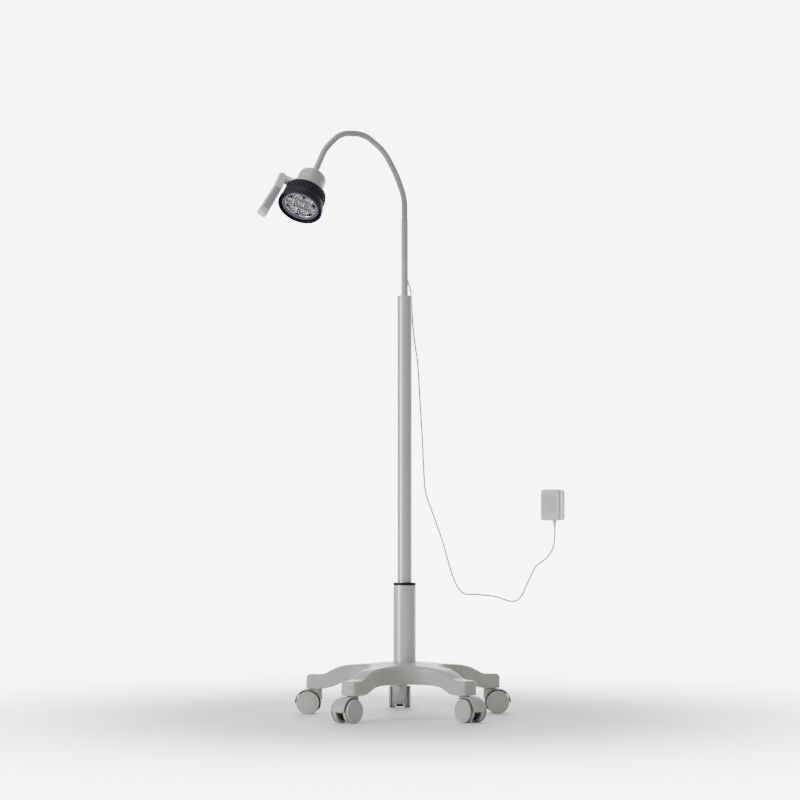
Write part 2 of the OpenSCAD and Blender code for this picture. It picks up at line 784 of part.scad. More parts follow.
// smooth curve through the cord's points
function cord_tangent(i) = let (n = len(cord_points) - 1)
    i == 0 ? [0, 0, -13] : i == n ? [0, 0, 20] : (cord_points[i + 1] - cord_points[i - 1]) / 2;
function cord_at(u) = let (
    n = len(cord_points) - 1, i = min(floor(u), n - 1), t = u - i,
    a = cord_points[i], b = cord_points[i + 1], da = cord_tangent(i), db = cord_tangent(i + 1)
) a * (2 * t ^ 3 - 3 * t ^ 2 + 1) + da * (t ^ 3 - 2 * t ^ 2 + t)
    + b * (3 * t ^ 2 - 2 * t ^ 3) + db * (t ^ 3 - t ^ 2);
function unit(v) = v / norm(v);
function cord_way(k) = let (n = len(cord_points) - 1, s = n / (CORD_RINGS - 1), u = k * s)
    k == 0 ? [0, 0, -1] : k == CORD_RINGS - 1 ? [0, 0, 1]
    : unit(cord_at(min(u + s / 4, n)) - cord_at(max(u - s / 4, 0)));

module power_cord() {
    n = len(cord_points) - 1;
    rings = [for (k = [0:CORD_RINGS - 1]) let (
        p = cord_at(n * k / (CORD_RINGS - 1)), way = cord_way(k),
        side = unit(cross([0, 1, 0], way)), up = cross(way, side)
    ) for (s = [0:CORD_SIDES - 1]) let (a = 360 * s / CORD_SIDES)
        p + cord_d / 2 * (side * cos(a) + up * sin(a))];
    walls = [for (k = [0:CORD_RINGS - 2], s = [0:CORD_SIDES - 1]) let (
        t = (s + 1) % CORD_SIDES, a = k * CORD_SIDES
    ) each [[a + s, a + CORD_SIDES + s, a + t], [a + t, a + CORD_SIDES + s, a + CORD_SIDES + t]]];
    last = (CORD_RINGS - 1) * CORD_SIDES;
    start = [for (s = [0:CORD_SIDES - 1]) s];
    finish = [for (s = [CORD_SIDES - 1:-1:0]) last + s];
    color([0.78, 0.78, 0.78]) polyhedron(points = rings, faces = concat(walls, [start, finish]));
}

module at_adapter() {
    translate(adapter_at) rotate(-adapter_yaw) children();
}

module adapter_relief() {
    color([0.7, 0.7, 0.7]) translate(cord_end) cylinder(r1 = cord_d / 2 + 0.6, r2 = 4.5, h = relief_len);
}

// front shell: rounded box with a sunk, finely ribbed panel
module adapter_front() {
    front = adapter_depth * front_share;
    panel_w = adapter_w - 12;
    panel_h = adapter_h - 22;
    pitch = 2.6;
    seam_y = front - adapter_depth / 2;
    color([0.75, 0.75, 0.75]) at_adapter() difference() {
        translate([0, seam_y, 0]) rotate([90, 0, 0])
            linear_extrude(height = front) rounded_rect(adapter_w, adapter_h, 5);
        translate([0, seam_y + 1, 0]) rotate([90, 0, 0]) linear_extrude(height = front - 1)
            rounded_rect(adapter_w - 2 * shell_t, adapter_h - 2 * shell_t, 3);
        translate([-panel_w / 2, -adapter_depth / 2 - 1, -panel_h / 2]) cube([panel_w, 1.6, panel_h]);
        for (x = [-panel_w / 2 + pitch:pitch:panel_w / 2 - pitch])
            translate([x, -adapter_depth / 2, -panel_h / 2]) cube([1, 1.2, panel_h]);
    }
}

module adapter_back() {
    back = adapter_depth * (1 - front_share);
    color([0.75, 0.75, 0.75]) at_adapter() difference() {
        translate([0, adapter_depth / 2, 0]) rotate([90, 0, 0])
            linear_extrude(height = back) rounded_rect(adapter_w, adapter_h, 5);
        translate([0, adapter_depth / 2 - shell_t - 0.5, 0]) rotate([90, 0, 0]) linear_extrude(height = back)
            rounded_rect(adapter_w - 2 * shell_t, adapter_h - 2 * shell_t, 3);
        for (s = [-1, 1]) translate([s * pin_spacing / 2, 0, pin_rise]) rotate([-90, 0, 0])
            cylinder(r = pin_root_r, h = adapter_depth);
    }
}

// two pins, each with a thinner root that is moulded into the back shell
module plug_pins() {
    r = plug_pin_d / 2;
    color("gold") at_adapter() for (s = [-1, 1])
        translate([s * pin_spacing / 2, adapter_depth / 2, pin_rise]) rotate([-90, 0, 0]) union() {
            translate([0, 0, -pin_root]) cylinder(r = pin_root_r, h = pin_root + 2);
            translate([0, 0, pin_neck]) cylinder(r = r, h = plug_pin_len - pin_neck - pin_tip);
            translate([0, 0, plug_pin_len - pin_tip]) cylinder(r1 = r, r2 = r - pin_tip, h = pin_tip);
        }
}

// ---- drawing ----

star_base();
caster_sockets();
column_tube();
column_collar();
column_plug();
pole_guide();
pole_tube();
pole_cap();
neck_post();
power_inlet();
for (i = [1:FIVE]) {
    at_caster(i - 1) caster_hood();
    at_caster(i - 1) caster_pins();
    at_caster(i - 1) caster_wheel(1);
    at_caster(i - 1) caster_wheel(-1);
}
for (i = [1:LINKS]) neck_link(i - 1);
neck_end();
head_shell();
heat_sink();
driver_board();
led_board();
led_chips();
lens_holder();
lens_array();
trim_ring();
focus_ring();
board_screws();
handle_bracket();
handle_grip();
grip_pads();
dimmer_knob();
power_cord();
adapter_relief();
adapter_front();
adapter_back();
plug_pins();
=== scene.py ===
import math
from math import cos, radians, sin

import bmesh
import bpy
from mathutils import Matrix, Vector


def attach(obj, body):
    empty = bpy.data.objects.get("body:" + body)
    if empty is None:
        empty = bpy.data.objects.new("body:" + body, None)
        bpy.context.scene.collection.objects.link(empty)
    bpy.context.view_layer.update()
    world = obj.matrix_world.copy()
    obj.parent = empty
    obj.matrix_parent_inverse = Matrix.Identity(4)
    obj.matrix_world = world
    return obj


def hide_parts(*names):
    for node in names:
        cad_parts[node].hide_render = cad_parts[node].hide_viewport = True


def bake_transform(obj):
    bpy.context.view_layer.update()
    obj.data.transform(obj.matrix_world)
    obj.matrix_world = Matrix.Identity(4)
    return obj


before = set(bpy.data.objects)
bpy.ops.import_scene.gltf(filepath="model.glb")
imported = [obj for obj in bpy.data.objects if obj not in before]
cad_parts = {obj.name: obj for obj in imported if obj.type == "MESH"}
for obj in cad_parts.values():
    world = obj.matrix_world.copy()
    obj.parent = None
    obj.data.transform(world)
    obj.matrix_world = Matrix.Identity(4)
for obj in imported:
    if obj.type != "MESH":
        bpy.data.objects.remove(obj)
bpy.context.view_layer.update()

# Shapes are written in millimetres and made in metres.
MM = 0.001
TAU = 2 * math.pi
IDENTITY = Matrix.Identity(4)


# ---- shapes: every shape is a pair of lists, points and faces ----


def spline(table, x):
    """The smooth curve through a table of (x, y), flat past its ends."""
    if x <= table[0][0]:
        return table[0][1]
    for i in range(len(table) - 1):
        (x0, y0), (x1, y1) = table[i], table[i + 1]
        if x <= x1:
            before = table[max(i - 1, 0)]
            after = table[min(i + 2, len(table) - 1)]
            m0 = (y1 - before[1]) / (x1 - before[0]) * (x1 - x0)
            m1 = (after[1] - y0) / (after[0] - x0) * (x1 - x0)
            t = (x - x0) / (x1 - x0)
            a = y0 * (1 + 2 * t) * (1 - t) ** 2 + m0 * t * (1 - t) ** 2
            return a + y1 * t * t * (3 - 2 * t) + m1 * t * t * (t - 1)
    return table[-1][1]


def rounded(points, radius, closed=True, steps=4):
    """A polyline with its corners rounded; radius is a number, or one for each corner."""
    out, n = [], len(points)
    for i, p in enumerate(points):
        r = radius[i] if isinstance(radius, (list, tuple)) else radius
        p = Vector(p)
        if r <= 0 or (not closed and i in (0, n - 1)):
            out.append(tuple(p))
            continue
        a, b = Vector(points[i - 1]) - p, Vector(points[(i + 1) % n]) - p
        angle = a.angle(b)
        if angle > math.pi - 0.01:
            out.append(tuple(p))
            continue
        reach = min(r / math.tan(angle / 2), 0.49 * a.length, 0.49 * b.length)
        start, end = p + a.normalized() * reach, p + b.normalized() * reach
        for k in range(steps + 1):
            t = k / steps
            q = start * (1 - t) ** 2 + p * (2 * t * (1 - t)) + end * (t * t)
            out.append(tuple(q))
    return out


def lathe(profile, seg=128, closed=True, bump=None):
    """A shape turned about z from (radius, z) points. bump(angle, r, z) adds to the radius."""
    pts, faces, rows = [], [], []
    for r, z in profile:
        if r < 1e-6:
            rows.append([len(pts)] * seg)
            pts.append((0, 0, z))
            continue
        rows.append(list(range(len(pts), len(pts) + seg)))
        for k in range(seg):
            a = TAU * k / seg
            s = r + (bump(a, r, z) if bump else 0)
            pts.append((s * cos(a), s * sin(a), z))
    pairs = list(zip(rows, rows[1:]))
    if closed:
        pairs.append((rows[-1], rows[0]))
    for low, high in pairs:
        for k in range(seg):
            j = (k + 1) % seg
            quad = [low[k], low[j], high[j], high[k]]
            quad = [q for i, q in enumerate(quad) if q != quad[i - 1]]
            if len(set(quad)) > 2:
                faces.append(quad)
    return pts, faces


def loft(rings, caps=True):
    """A skin over equal closed rings of points, from the first ring to the last."""
    n = len(rings[0])
    pts = [tuple(p) for ring in rings for p in ring]
    faces = []
    for i in range(len(rings) - 1):
        low, high = i * n, (i + 1) * n
        for k in range(n):
            j = (k + 1) % n
            faces.append([low + k, low + j, high + j, high + k])
    if caps:
        faces.append(list(range(n))[::-1])
        faces.append([len(pts) - n + k for k in range(n)])
    return pts, faces


def prism(outline, z0, z1):
    """An outline of (x, y) points drawn up from z0 to z1."""
    return loft([[(x, y, z) for x, y in outline] for z in (z0, z1)])


def block(low, high):
    (x0, y0, z0), (x1, y1, z1) = low, high
    return prism([(x0, y0), (x1, y0), (x1, y1), (x0, y1)], z0, z1)


def frames_along(path):
    """A turning frame at each point of a path, carried along it without twist."""
    tangents = []
    for i in range(len(path)):
        a, b = path[max(i - 1, 0)], path[min(i + 1, len(path) - 1)]
        tangents.append((Vector(b) - Vector(a)).normalized())
    side = tangents[0].orthogonal().normalized()
    out = []
    for p, t in zip(path, tangents):
        side = (side - t * side.dot(t)).normalized()
        out.append((Vector(p), side, t.cross(side), t))
    return out


def tube(path, radius, sides=16, caps=True):
    """A round tube along a path; radius is a number or a function of the point's index."""
    rings = []
    for i, (p, u, v, _) in enumerate(frames_along(path)):
        r = radius(i) if callable(radius) else radius
        around = [TAU * k / sides for k in range(sides)]
        rings.append([p + u * (r * cos(a)) + v * (r * sin(a)) for a in around])
    return loft(rings, caps)


def moved(shape, matrix):
    pts, faces = shape
    return [tuple(matrix @ Vector(p)) for p in pts], faces


def shift(x, y, z):
    return Matrix.Translation((x, y, z))


def turn(angle, axis="Z"):
    return Matrix.Rotation(radians(angle), 4, axis)


def make(name, shapes, body, finish, matrix=IDENTITY, sharp=32):
    """A piece from shapes in millimetres, placed by matrix, riding on a CAD body."""
    mesh = bpy.data.meshes.new(name)
    pts, faces = [], []
    for shape in shapes if isinstance(shapes, list) else [shapes]:
        start = len(pts)
        pts += [(matrix @ Vector(p)) * MM for p in shape[0]]
        faces += [[i + start for i in f] for f in shape[1]]
    mesh.from_pydata(pts, [], faces)
    work = bmesh.new()
    work.from_mesh(mesh)
    bmesh.ops.recalc_face_normals(work, faces=work.faces)
    work.to_mesh(mesh)
    work.free()
    return dress(name, mesh, body, finish, sharp)


def dress(name, mesh, body, finish, sharp=32):
    """An object of a mesh, smooth but for edges over sharp degrees, on its body and slot."""
    mesh.polygons.foreach_set("use_smooth", [True] * len(mesh.polygons))
    mesh.set_sharp_from_angle(angle=radians(sharp))
    obj = bpy.data.objects.new(name, mesh)
    bpy.context.scene.collection.objects.link(obj)
    mesh.materials.append(finish)
    if body:
        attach(obj, body)
    return obj


def melted(name, shapes, voxel, smooth, matrix=IDENTITY):
    """One mesh of shapes run together, with the soft inner corners of a moulding."""
    rough = make(name + "_rough", shapes, None, PLAIN, matrix)
    remesh = rough.modifiers.new("remesh", "REMESH")
    remesh.mode = "VOXEL"
    remesh.voxel_size = voxel * MM
    soften = rough.modifiers.new("soften", "SMOOTH")
    soften.factor = 0.5
    soften.iterations = smooth
    bpy.context.view_layer.update()
    ready = rough.evaluated_get(bpy.context.evaluated_depsgraph_get())
    mesh = bpy.data.meshes.new_from_object(ready)
    mesh.name = name
    mesh.materials.clear()
    bpy.data.objects.remove(rough)
    return mesh


# ---- finishes ----


class Finish:
    """A procedural material, built up one layer at a time on a Principled shader."""

    def __init__(self, name, colour, rough, **sockets):
        self.mat = bpy.data.materials.new(name)
        self.mat.use_nodes = True
        self.tree = self.mat.node_tree
        self.shader = self.tree.nodes["Principled BSDF"]
        self.base = [*[(c / 255) ** 2.2 for c in colour], 1]
        self.rough = rough
        self.shader.inputs["Base Color"].default_value = self.base
        self.shader.inputs["Roughness"].default_value = rough
        for socket, value in sockets.items():
            self.shader.inputs[socket.replace("_", " ")].default_value = value
        self.place = self.node("ShaderNodeTexCoord").outputs["Object"]
        self.colour = self.gloss = self.relief = None

    def node(self, kind, **settings):
        made = self.tree.nodes.new(kind)
        for key, value in settings.items():
            if hasattr(made, key):
                setattr(made, key, value)
            else:
                made.inputs[key.replace("_", " ")].default_value = value
        return made

    def link(self, a, b):
        self.tree.links.new(a, b)

    def noise(self, size, detail=3.0, stretch=None):
        """Noise whose marks are about size millimetres across."""
        made = self.node("ShaderNodeTexNoise", Scale=1000 / size, Detail=detail)
        place = self.place
        if stretch:
            mapping = self.node("ShaderNodeMapping")
            mapping.inputs["Scale"].default_value = stretch
            self.link(place, mapping.inputs["Vector"])
            place = mapping.outputs["Vector"]
        self.link(place, made.inputs["Vector"])
        return made.outputs["Fac"]

    def band(self, value, low, high, out_low=0.0, out_high=1.0):
        made = self.node("ShaderNodeMapRange")
        for name, number in (
            ("From Min", low),
            ("From Max", high),
            ("To Min", out_low),
            ("To Max", out_high),
        ):
            made.inputs[name].default_value = number
        self.link(value, made.inputs["Value"])
        return made.outputs["Result"]

    def tint(self, mask, colour, amount):
        """Mixes colour over the base where mask is 1, by amount."""
        mix = self.node("ShaderNodeMix", data_type="RGBA")
        scale = self.band(mask, 0, 1, 0, amount)
        self.link(scale, mix.inputs[0])
        if self.colour is None:
            mix.inputs[6].default_value = self.base
        else:
            self.link(self.colour, mix.inputs[6])
        mix.inputs[7].default_value = [*[(c / 255) ** 2.2 for c in colour], 1]
        self.colour = mix.outputs[2]
        return self

    def shine(self, mask, change):
        """Adds change to the roughness where mask is 1."""
        made = self.node("ShaderNodeMath", operation="MULTIPLY_ADD")
        self.link(mask, made.inputs[0])
        made.inputs[1].default_value = change
        if self.gloss is None:
            made.inputs[2].default_value = self.rough
        else:
            self.link(self.gloss, made.inputs[2])
        self.gloss = made.outputs[0]
        return self

    def raise_by(self, height, distance):
        """Bump of distance millimetres where height is 1."""
        made = self.node("ShaderNodeBump", Strength=1.0, Distance=distance * MM)
        self.link(height, made.inputs["Height"])
        if self.relief is not None:
            self.link(self.relief, made.inputs["Normal"])
        self.relief = made.outputs["Normal"]
        return self

    def done(self):
        if self.colour is not None:
            self.link(self.colour, self.shader.inputs["Base Color"])
        if self.gloss is not None:
            self.link(self.gloss, self.shader.inputs["Roughness"])
        if self.relief is not None:
            self.link(self.relief, self.shader.inputs["Normal"])
        return self.mat


def moulded(name, colour, rough, grain=0.5, depth=0.012, wear_and_shade=None, **sockets):
    """Moulded plastic: a fine spark-eroded grain, faint flow marks, rubbed edges and painted shade in
    its creases.
    """
    f = Finish(name, colour, rough, **sockets)
    darker = [c * 0.86 for c in colour]
    f.tint(f.band(f.noise(38, 4), 0.4, 0.68), darker, 0.35)
    f.tint(f.band(f.noise(1.6, 2), 0.56, 0.74), darker, 0.22)
    if wear_and_shade:
        edge = f.node("ShaderNodeNewGeometry").outputs["Pointiness"]
        patch = f.node("ShaderNodeMath", operation="MULTIPLY")
        f.link(f.band(edge, 0.53, 0.6), patch.inputs[0])
        f.link(f.band(f.noise(6, 4), 0.35, 0.6), patch.inputs[1])
        f.tint(patch.outputs[0], wear_and_shade, 0.6)
        # painted shade: the colour darkens where the surface is hollow, in creases and inner corners
        f.tint(f.band(edge, 0.47, 0.42), darker, 0.55)
    f.shine(f.band(f.noise(22, 5), 0.35, 0.7), 0.09)
    f.shine(f.band(f.noise(3, 3, (1, 1, 7)), 0.55, 0.8), -0.06)
    f.raise_by(f.noise(grain, 2), depth)
    f.raise_by(f.noise(9, 2), depth * 2.2)
    return f.done()


def painted(name, colour, rough, **sockets):
    """Powder coat on steel tube: orange peel, faint long streaks and small rubbed spots."""
    f = Finish(name, colour, rough, **sockets)
    f.tint(f.band(f.noise(60, 3, (1, 1, 0.25)), 0.42, 0.66), [c * 0.93 for c in colour], 0.5)
    f.tint(f.band(f.noise(0.7, 2), 0.6, 0.72), [min(c * 1.12, 255) for c in colour], 0.3)
    f.shine(f.band(f.noise(30, 5, (1, 1, 0.2)), 0.35, 0.7), 0.08)
    f.shine(f.band(f.noise(2.5, 3, (1, 1, 0.06)), 0.62, 0.8), 0.1)
    f.raise_by(f.noise(1.7, 2), 0.014)
    f.raise_by(f.noise(0.35, 1), 0.003)
    return f.done()


def metal(name, colour, rough, brushed=(1, 1, 1), grain=0.4, depth=0.004):
    """Bare metal: faint stains and a fine grain, drawn out along one axis where it is brushed."""
    f = Finish(name, colour, rough, Metallic=1.0)
    f.tint(f.band(f.noise(7, 5), 0.4, 0.7), [c * 0.8 for c in colour], 0.4)
    f.shine(f.band(f.noise(grain * 4, 4, brushed), 0.3, 0.7), 0.16)
    f.raise_by(f.noise(grain, 2, brushed), depth)
    return f.done()


PLAIN = bpy.data.materials.new("plain")

BASE_GREY = (166, 164, 160)
HEAD_GREY = (172, 172, 171)
FIN = {
    "base": moulded("base_plastic", BASE_GREY, 0.42, wear_and_shade=(214, 213, 209)),
    "wheel": moulded("wheel_plastic", (164, 162, 158), 0.46, wear_and_shade=(196, 194, 190)),
    # painted shade: a dark finish for the ring groove behind each wheel's face, standing in for the
    # shaded gap under the hood
    "gap_shade": moulded(
        "wheel_gap_shade", (96, 95, 94), 0.62, grain=0.9, depth=0.03, Specular_IOR_Level=0.2
    ),
    "paint": painted(
        "column_paint", (190, 191, 196), 0.3, Metallic=0.35, Coat_Weight=0.25, Coat_Roughness=0.2
    ),
    "black": moulded(
        "black_plastic", (20, 20, 24), 0.5, wear_and_shade=(50, 50, 56), Specular_IOR_Level=0.25
    ),
    "steel": metal("steel", (178, 178, 180), 0.25, (1, 1, 0.1)),
    "nylon": moulded("guide_nylon", (208, 206, 198), 0.5),
    "neck": moulded("neck_sleeve", (168, 167, 176), 0.36, grain=0.8, depth=0.01),
    "housing": moulded("housing_plastic", HEAD_GREY, 0.4, wear_and_shade=(222, 222, 220)),
    "handle": moulded("handle_plastic", (232, 232, 231), 0.36, wear_and_shade=(246, 246, 245)),
    "ring": moulded(
        "ring_plastic", (36, 34, 46), 0.55, grain=0.6, depth=0.02, wear_and_shade=(78, 76, 92),
        Specular_IOR_Level=0.22
    ),
    "trim": moulded("trim_plastic", (88, 86, 104), 0.42),
    "reflector": metal("reflector", (236, 236, 238), 0.2, grain=1.5, depth=0.004),
    "board": moulded("board_green", (30, 84, 52), 0.4),
    "white": moulded("board_white", (226, 226, 222), 0.35),
    "chip": moulded("chip", (232, 214, 120), 0.35),
    "sink": metal("sink_aluminium", (170, 172, 175), 0.34, (1, 1, 0.1)),
    "pad": moulded("pad_plastic", (160, 159, 164), 0.58, grain=0.7, depth=0.03),
    "cord": moulded("cord_jacket", (165, 165, 163), 0.45, grain=0.6, depth=0.008),
    "adapter": moulded("adapter_plastic", (216, 216, 213), 0.42, wear_and_shade=(212, 212, 210)),
    "nickel": metal("pin_nickel", (205, 200, 190), 0.2, (1, 0.1, 1)),
}


def clear_finish():
    f = Finish("lens_clear", (250, 251, 253), 0.1, Transmission_Weight=1.0, IOR=1.47)
    f.shine(f.band(f.noise(5, 4), 0.45, 0.75), 0.05)
    f.raise_by(f.noise(4, 2), 0.01)
    return f.done()


FIN["clear"] = clear_finish()

# ---- camera, floor and light ----


CAMERA_AT, CAMERA_PITCH = (-0.010, -4.7, 0.400), 2.42
FADE_FROM, FADE_TO = 0.34, 1.55  # how far out the floor begins to fade, and is gone


def set_camera():
    data = bpy.data.cameras.new("camera")
    data.sensor_width = 36
    data.lens = 97.0
    data.shift_y = 0.05
    cam = bpy.data.objects.new("camera", data)
    cam.location = CAMERA_AT
    cam.rotation_euler = (radians(90 + CAMERA_PITCH), 0, 0)
    bpy.context.scene.collection.objects.link(cam)
    bpy.context.scene.camera = cam


def set_floor():
    """A pale floor round the base that fades away into the white of the studio."""
    sides, radii = 96, (0.0, 0.3, 0.6, 0.9, 1.2, 1.6)
    pts, faces = [(0, 0, 0)], []
    for n, r in enumerate(radii[1:]):
        pts += [(r * cos(TAU * k / sides), r * sin(TAU * k / sides), 0) for k in range(sides)]
        for k in range(sides):
            a, b = 1 + n * sides + k, 1 + n * sides + (k + 1) % sides
            faces.append([0, a, b] if n == 0 else [a - sides, a, b, b - sides])
    mesh = bpy.data.meshes.new("floor")
    mesh.from_pydata(pts, [], faces)
    f = Finish("floor_paper", (240, 240, 240), 0.8)
    f.tint(f.band(f.noise(400, 3), 0.4, 0.7), (234, 234, 234), 0.4)
    paper = f.done()
    reach = f.node("ShaderNodeVectorMath", operation="LENGTH")
    f.link(f.place, reach.inputs[0])
    fade = f.node("ShaderNodeMapRange", interpolation_type="SMOOTHSTEP")
    fade.inputs["From Min"].default_value = FADE_FROM
    fade.inputs["From Max"].default_value = FADE_TO
    f.link(reach.outputs["Value"], fade.inputs["Value"])
    mix = f.node("ShaderNodeMixShader")
    f.link(fade.outputs["Result"], mix.inputs[0])
    f.link(f.shader.outputs[0], mix.inputs[1])
    f.link(f.node("ShaderNodeBsdfTransparent").outputs[0], mix.inputs[2])
    f.link(mix.outputs[0], f.tree.nodes["Material Output"].inputs["Surface"])
    mesh.materials.append(paper)
    floor = bpy.data.objects.new("floor", mesh)
    bpy.context.scene.collection.objects.link(floor)


def add_light(name, place, aim, size, power):
    data = bpy.data.lights.new(name, "AREA")
    data.shape = "RECTANGLE"
    data.size, data.size_y = size
    data.energy = power
    lamp = bpy.data.objects.new(name, data)
    lamp.location = place
    lamp.visible_camera = False
    lamp.rotation_euler = (Vector(aim) - Vector(place)).to_track_quat("-Z", "Y").to_euler()
    bpy.context.scene.collection.objects.link(lamp)


def set_lights():
    """A white studio that is brightest behind, a soft key from the left, a rim and a top."""
    world = bpy.data.worlds.new("studio")
    world.use_nodes = True
    nodes, links = world.node_tree.nodes, world.node_tree.links
    way = nodes.new("ShaderNodeSeparateXYZ")
    links.new(nodes.new("ShaderNodeTexCoord").outputs["Generated"], way.inputs[0])
    glow = nodes.new("ShaderNodeMapRange")
    glow.interpolation_type = "SMOOTHSTEP"
    # by the Y of the direction: 0.55 all round, 7.5 straight behind the object
    for name, value in (("From Min", 0.66), ("From Max", 0.94), ("To Min", 0.55), ("To Max", 7.5)):
        glow.inputs[name].default_value = value
    links.new(way.outputs["Y"], glow.inputs["Value"])
    sky = nodes["Background"]
    sky.inputs["Color"].default_value = (1, 1, 1, 1)
    links.new(glow.outputs["Result"], sky.inputs["Strength"])
    bpy.context.scene.world = world
    add_light("key", (-2.3, -1.35, 0.95), (0, 0, 0.65), (0.45, 1.8), 62)
    add_light("rim", (1.9, 1.5, 1.0), (0, 0, 0.6), (0.3, 2.0), 8)
    add_light("top", (-0.3, -0.2, 3.2), (0, 0, 0.4), (1.0, 1.0), 14)


set_camera()
set_floor()
set_lights()

# ---- power cord ----

# the route of part.scad: out of the inlet behind the neck post, down beside the pole,
# away in two hanging bends and up into the wall adapter
CORD_POINTS = [
    (0.001, 0.013, 0.985), (0.0015, 0.0135, 0.972), (0.005, 0.0145, 0.955),
    (0.010, 0.016, 0.940), (0.0135, 0.017, 0.925), (0.0155, 0.017, 0.905),
    (0.0165, 0.0155, 0.880), (0.0195, 0.013, 0.837), (0.024, 0.011, 0.800),
    (0.029, 0.010, 0.764), (0.034, 0.009, 0.681), (0.0385, 0.008, 0.608),
    (0.0425, 0.007, 0.521), (0.0465, 0.007, 0.482), (0.058, 0.007, 0.448),
    (0.082, 0.008, 0.380), (0.099, 0.009, 0.321), (0.113, 0.010, 0.283),
    (0.130, 0.011, 0.264), (0.156, 0.012, 0.262), (0.199, 0.013, 0.257),
    (0.233, 0.014, 0.247), (0.253, 0.015, 0.256), (0.270, 0.015, 0.290),
    (0.287, 0.015, 0.323), (0.310, 0.015, 0.341), (0.324, 0.015, 0.362),
    (0.328, 0.015, 0.388), (0.328, 0.015, 0.409),
]
CORD_D = 0.0036
CORD_INSIDE = 0.032  # the stretch hidden in the relief and the adapter


def cord_route():
    """The smooth curve through CORD_POINTS, in metres, and on into the adapter."""
    pts = [Vector(p) for p in CORD_POINTS]
    out, per_span = [], 8
    for i in range(len(pts) - 1):
        a, b = pts[i], pts[i + 1]
        ta = (b - pts[i - 1]) / 2 if i else Vector((0, 0, -0.013))
        tb = (pts[i + 2] - a) / 2 if i + 2 < len(pts) else Vector((0, 0, 0.020))
        for k in range(per_span):
            t = k / per_span
            h = a * ((1 + 2 * t) * (1 - t) ** 2) + ta * (t * (1 - t) ** 2)
            out.append(h + b * (t * t * (3 - 2 * t)) + tb * (t * t * (t - 1)))
    # the last stretch runs on through the relief into the adapter
    inside = pts[-1] + Vector((0, 0, CORD_INSIDE))
    return out + [pts[-1].lerp(inside, k / 4) for k in range(5)]


def make_cord():
    route = cord_route()
    length = sum((b - a).length for a, b in zip(route, route[1:]))
    path = [tuple(p / MM) for p in route]
    skin = tube(path, CORD_D / 2 / MM, 20)
    cord = make("power_cord_jacket", skin, None, FIN["cord"])
    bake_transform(cord)
    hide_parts("power_cord")
    return cord, route, length


# ---- adapter ----

ADAPTER = shift(324, 15, 457) @ turn(-22)
ADAPTER_W, ADAPTER_H, ADAPTER_D = 44.4, 68.0, 40.0
ADAPTER_SEAM = 24.0


def round_rect(w, h, r, steps=5):
    pts = []
    for sx, sy, a0 in ((1, 1, 0), (-1, 1, 90), (-1, -1, 180), (1, -1, 270)):
        for k in range(steps + 1):
            a = radians(a0 + 90 * k / steps)
            pts.append((sx * (w / 2 - r) + r * cos(a), sy * (h / 2 - r) + r * sin(a)))
    return pts


def box_ring(w, h, r, y):
    return [(x, y, z) for x, z in round_rect(w, h, r)]


def make_adapter():
    """The wall adapter: a front shell with a sunk ribbed panel, a back shell and its relief."""
    w, h = ADAPTER_W, ADAPTER_H
    y0 = -ADAPTER_D / 2
    seam = y0 + ADAPTER_SEAM
    panel_w, panel_h = 32.4, 46.0
    rings = [
        box_ring(w - 2, h - 2, 5, seam - 0.01),
        box_ring(w - 0.6, h - 0.6, 5.6, seam - 0.01),
        box_ring(w, h, 6, seam - 0.6),
    ]
    for t in (0.0, 0.15, 0.35, 0.55, 0.75, 0.9, 1.0):
        a = radians(90 * t)
        inset, y = 3.6 * (1 - cos(a)), y0 + 3.6 * (1 - sin(a))
        rings.append(box_ring(w - 2 * inset, h - 2 * inset, 6 - inset * 0.4, y))
    rings += [
        box_ring(panel_w + 1.4, panel_h + 1.4, 3.4, y0),
        box_ring(panel_w + 0.6, panel_h + 0.6, 3.1, y0 + 0.15),
        box_ring(panel_w, panel_h, 3, y0 + 0.5),
        box_ring(panel_w - 0.2, panel_h - 0.2, 3, y0 + 1.2),
        box_ring(panel_w - 2, panel_h - 2, 2.4, y0 + 1.3),
    ]
    shapes = [loft(rings)]
    rib_pitch, rib_y, half = 2.6, y0 + 1.35, panel_h / 2 - 3.0
    for k in range(-5, 6):
        x = k * rib_pitch
        outline = rounded([(x - 0.75, 0), (x - 0.6, -0.75), (x + 0.6, -0.75), (x + 0.75, 0)], 0.35)
        ribs = []
        for z, s in ((-half, 0.15), (-half + 0.8, 1), (half - 0.8, 1), (half, 0.15)):
            ribs.append([(px, rib_y + py * s, z) for px, py in outline])
        shapes.append(loft(ribs))
    front = make("adapter_front_shell", shapes, "lift", FIN["adapter"], ADAPTER, 40)
    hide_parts("adapter_front")
    y1 = ADAPTER_D / 2
    rings = [
        box_ring(w - 2, h - 2, 5, seam + 0.5),
        box_ring(w - 1, h - 1, 5.5, seam + 0.02),
        box_ring(w - 0.5, h - 0.5, 5.7, seam + 0.5),
    ]
    for t in (0.0, 0.25, 0.5, 0.75, 1.0):
        a = radians(90 * t)
        inset, y = 0.3 + 2.4 * (1 - cos(a)), y1 - 2.4 * (1 - sin(a))
        rings.append(box_ring(w - 2 * inset, h - 2 * inset, 5.8 - inset * 0.4, y))
    shapes = loft(rings)
    back = make("adapter_back_shell", shapes, "lift", FIN["adapter"], ADAPTER, 40)
    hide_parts("adapter_back")
    low, high = 409.0, 423.0
    profile = [(0, low + 1), (1.9, low + 0.6), (2.2, low), (2.6, low + 0.5)]
    for k in range(4):
        z = low + 1.6 + k * 2.6
        r = 2.6 + 0.35 * k
        profile += [(r + 0.25, z), (r + 0.25, z + 1.2), (r - 0.25, z + 1.5), (r - 0.25, z + 2.3)]
    profile += [(4.4, high - 0.9), (4.5, high + 0.8), (0, high + 0.8)]
    relief = make(
        "adapter_cord_relief",
        lathe(rounded(profile, 0.18, closed=False, steps=2), 48, closed=False),
        "lift", FIN["adapter"], shift(328, 15, 0),
    )
    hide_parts("adapter_relief")
    return front, back, relief


cord, route, cord_length = make_cord()
front, back, relief = make_adapter()

# ---- base ----

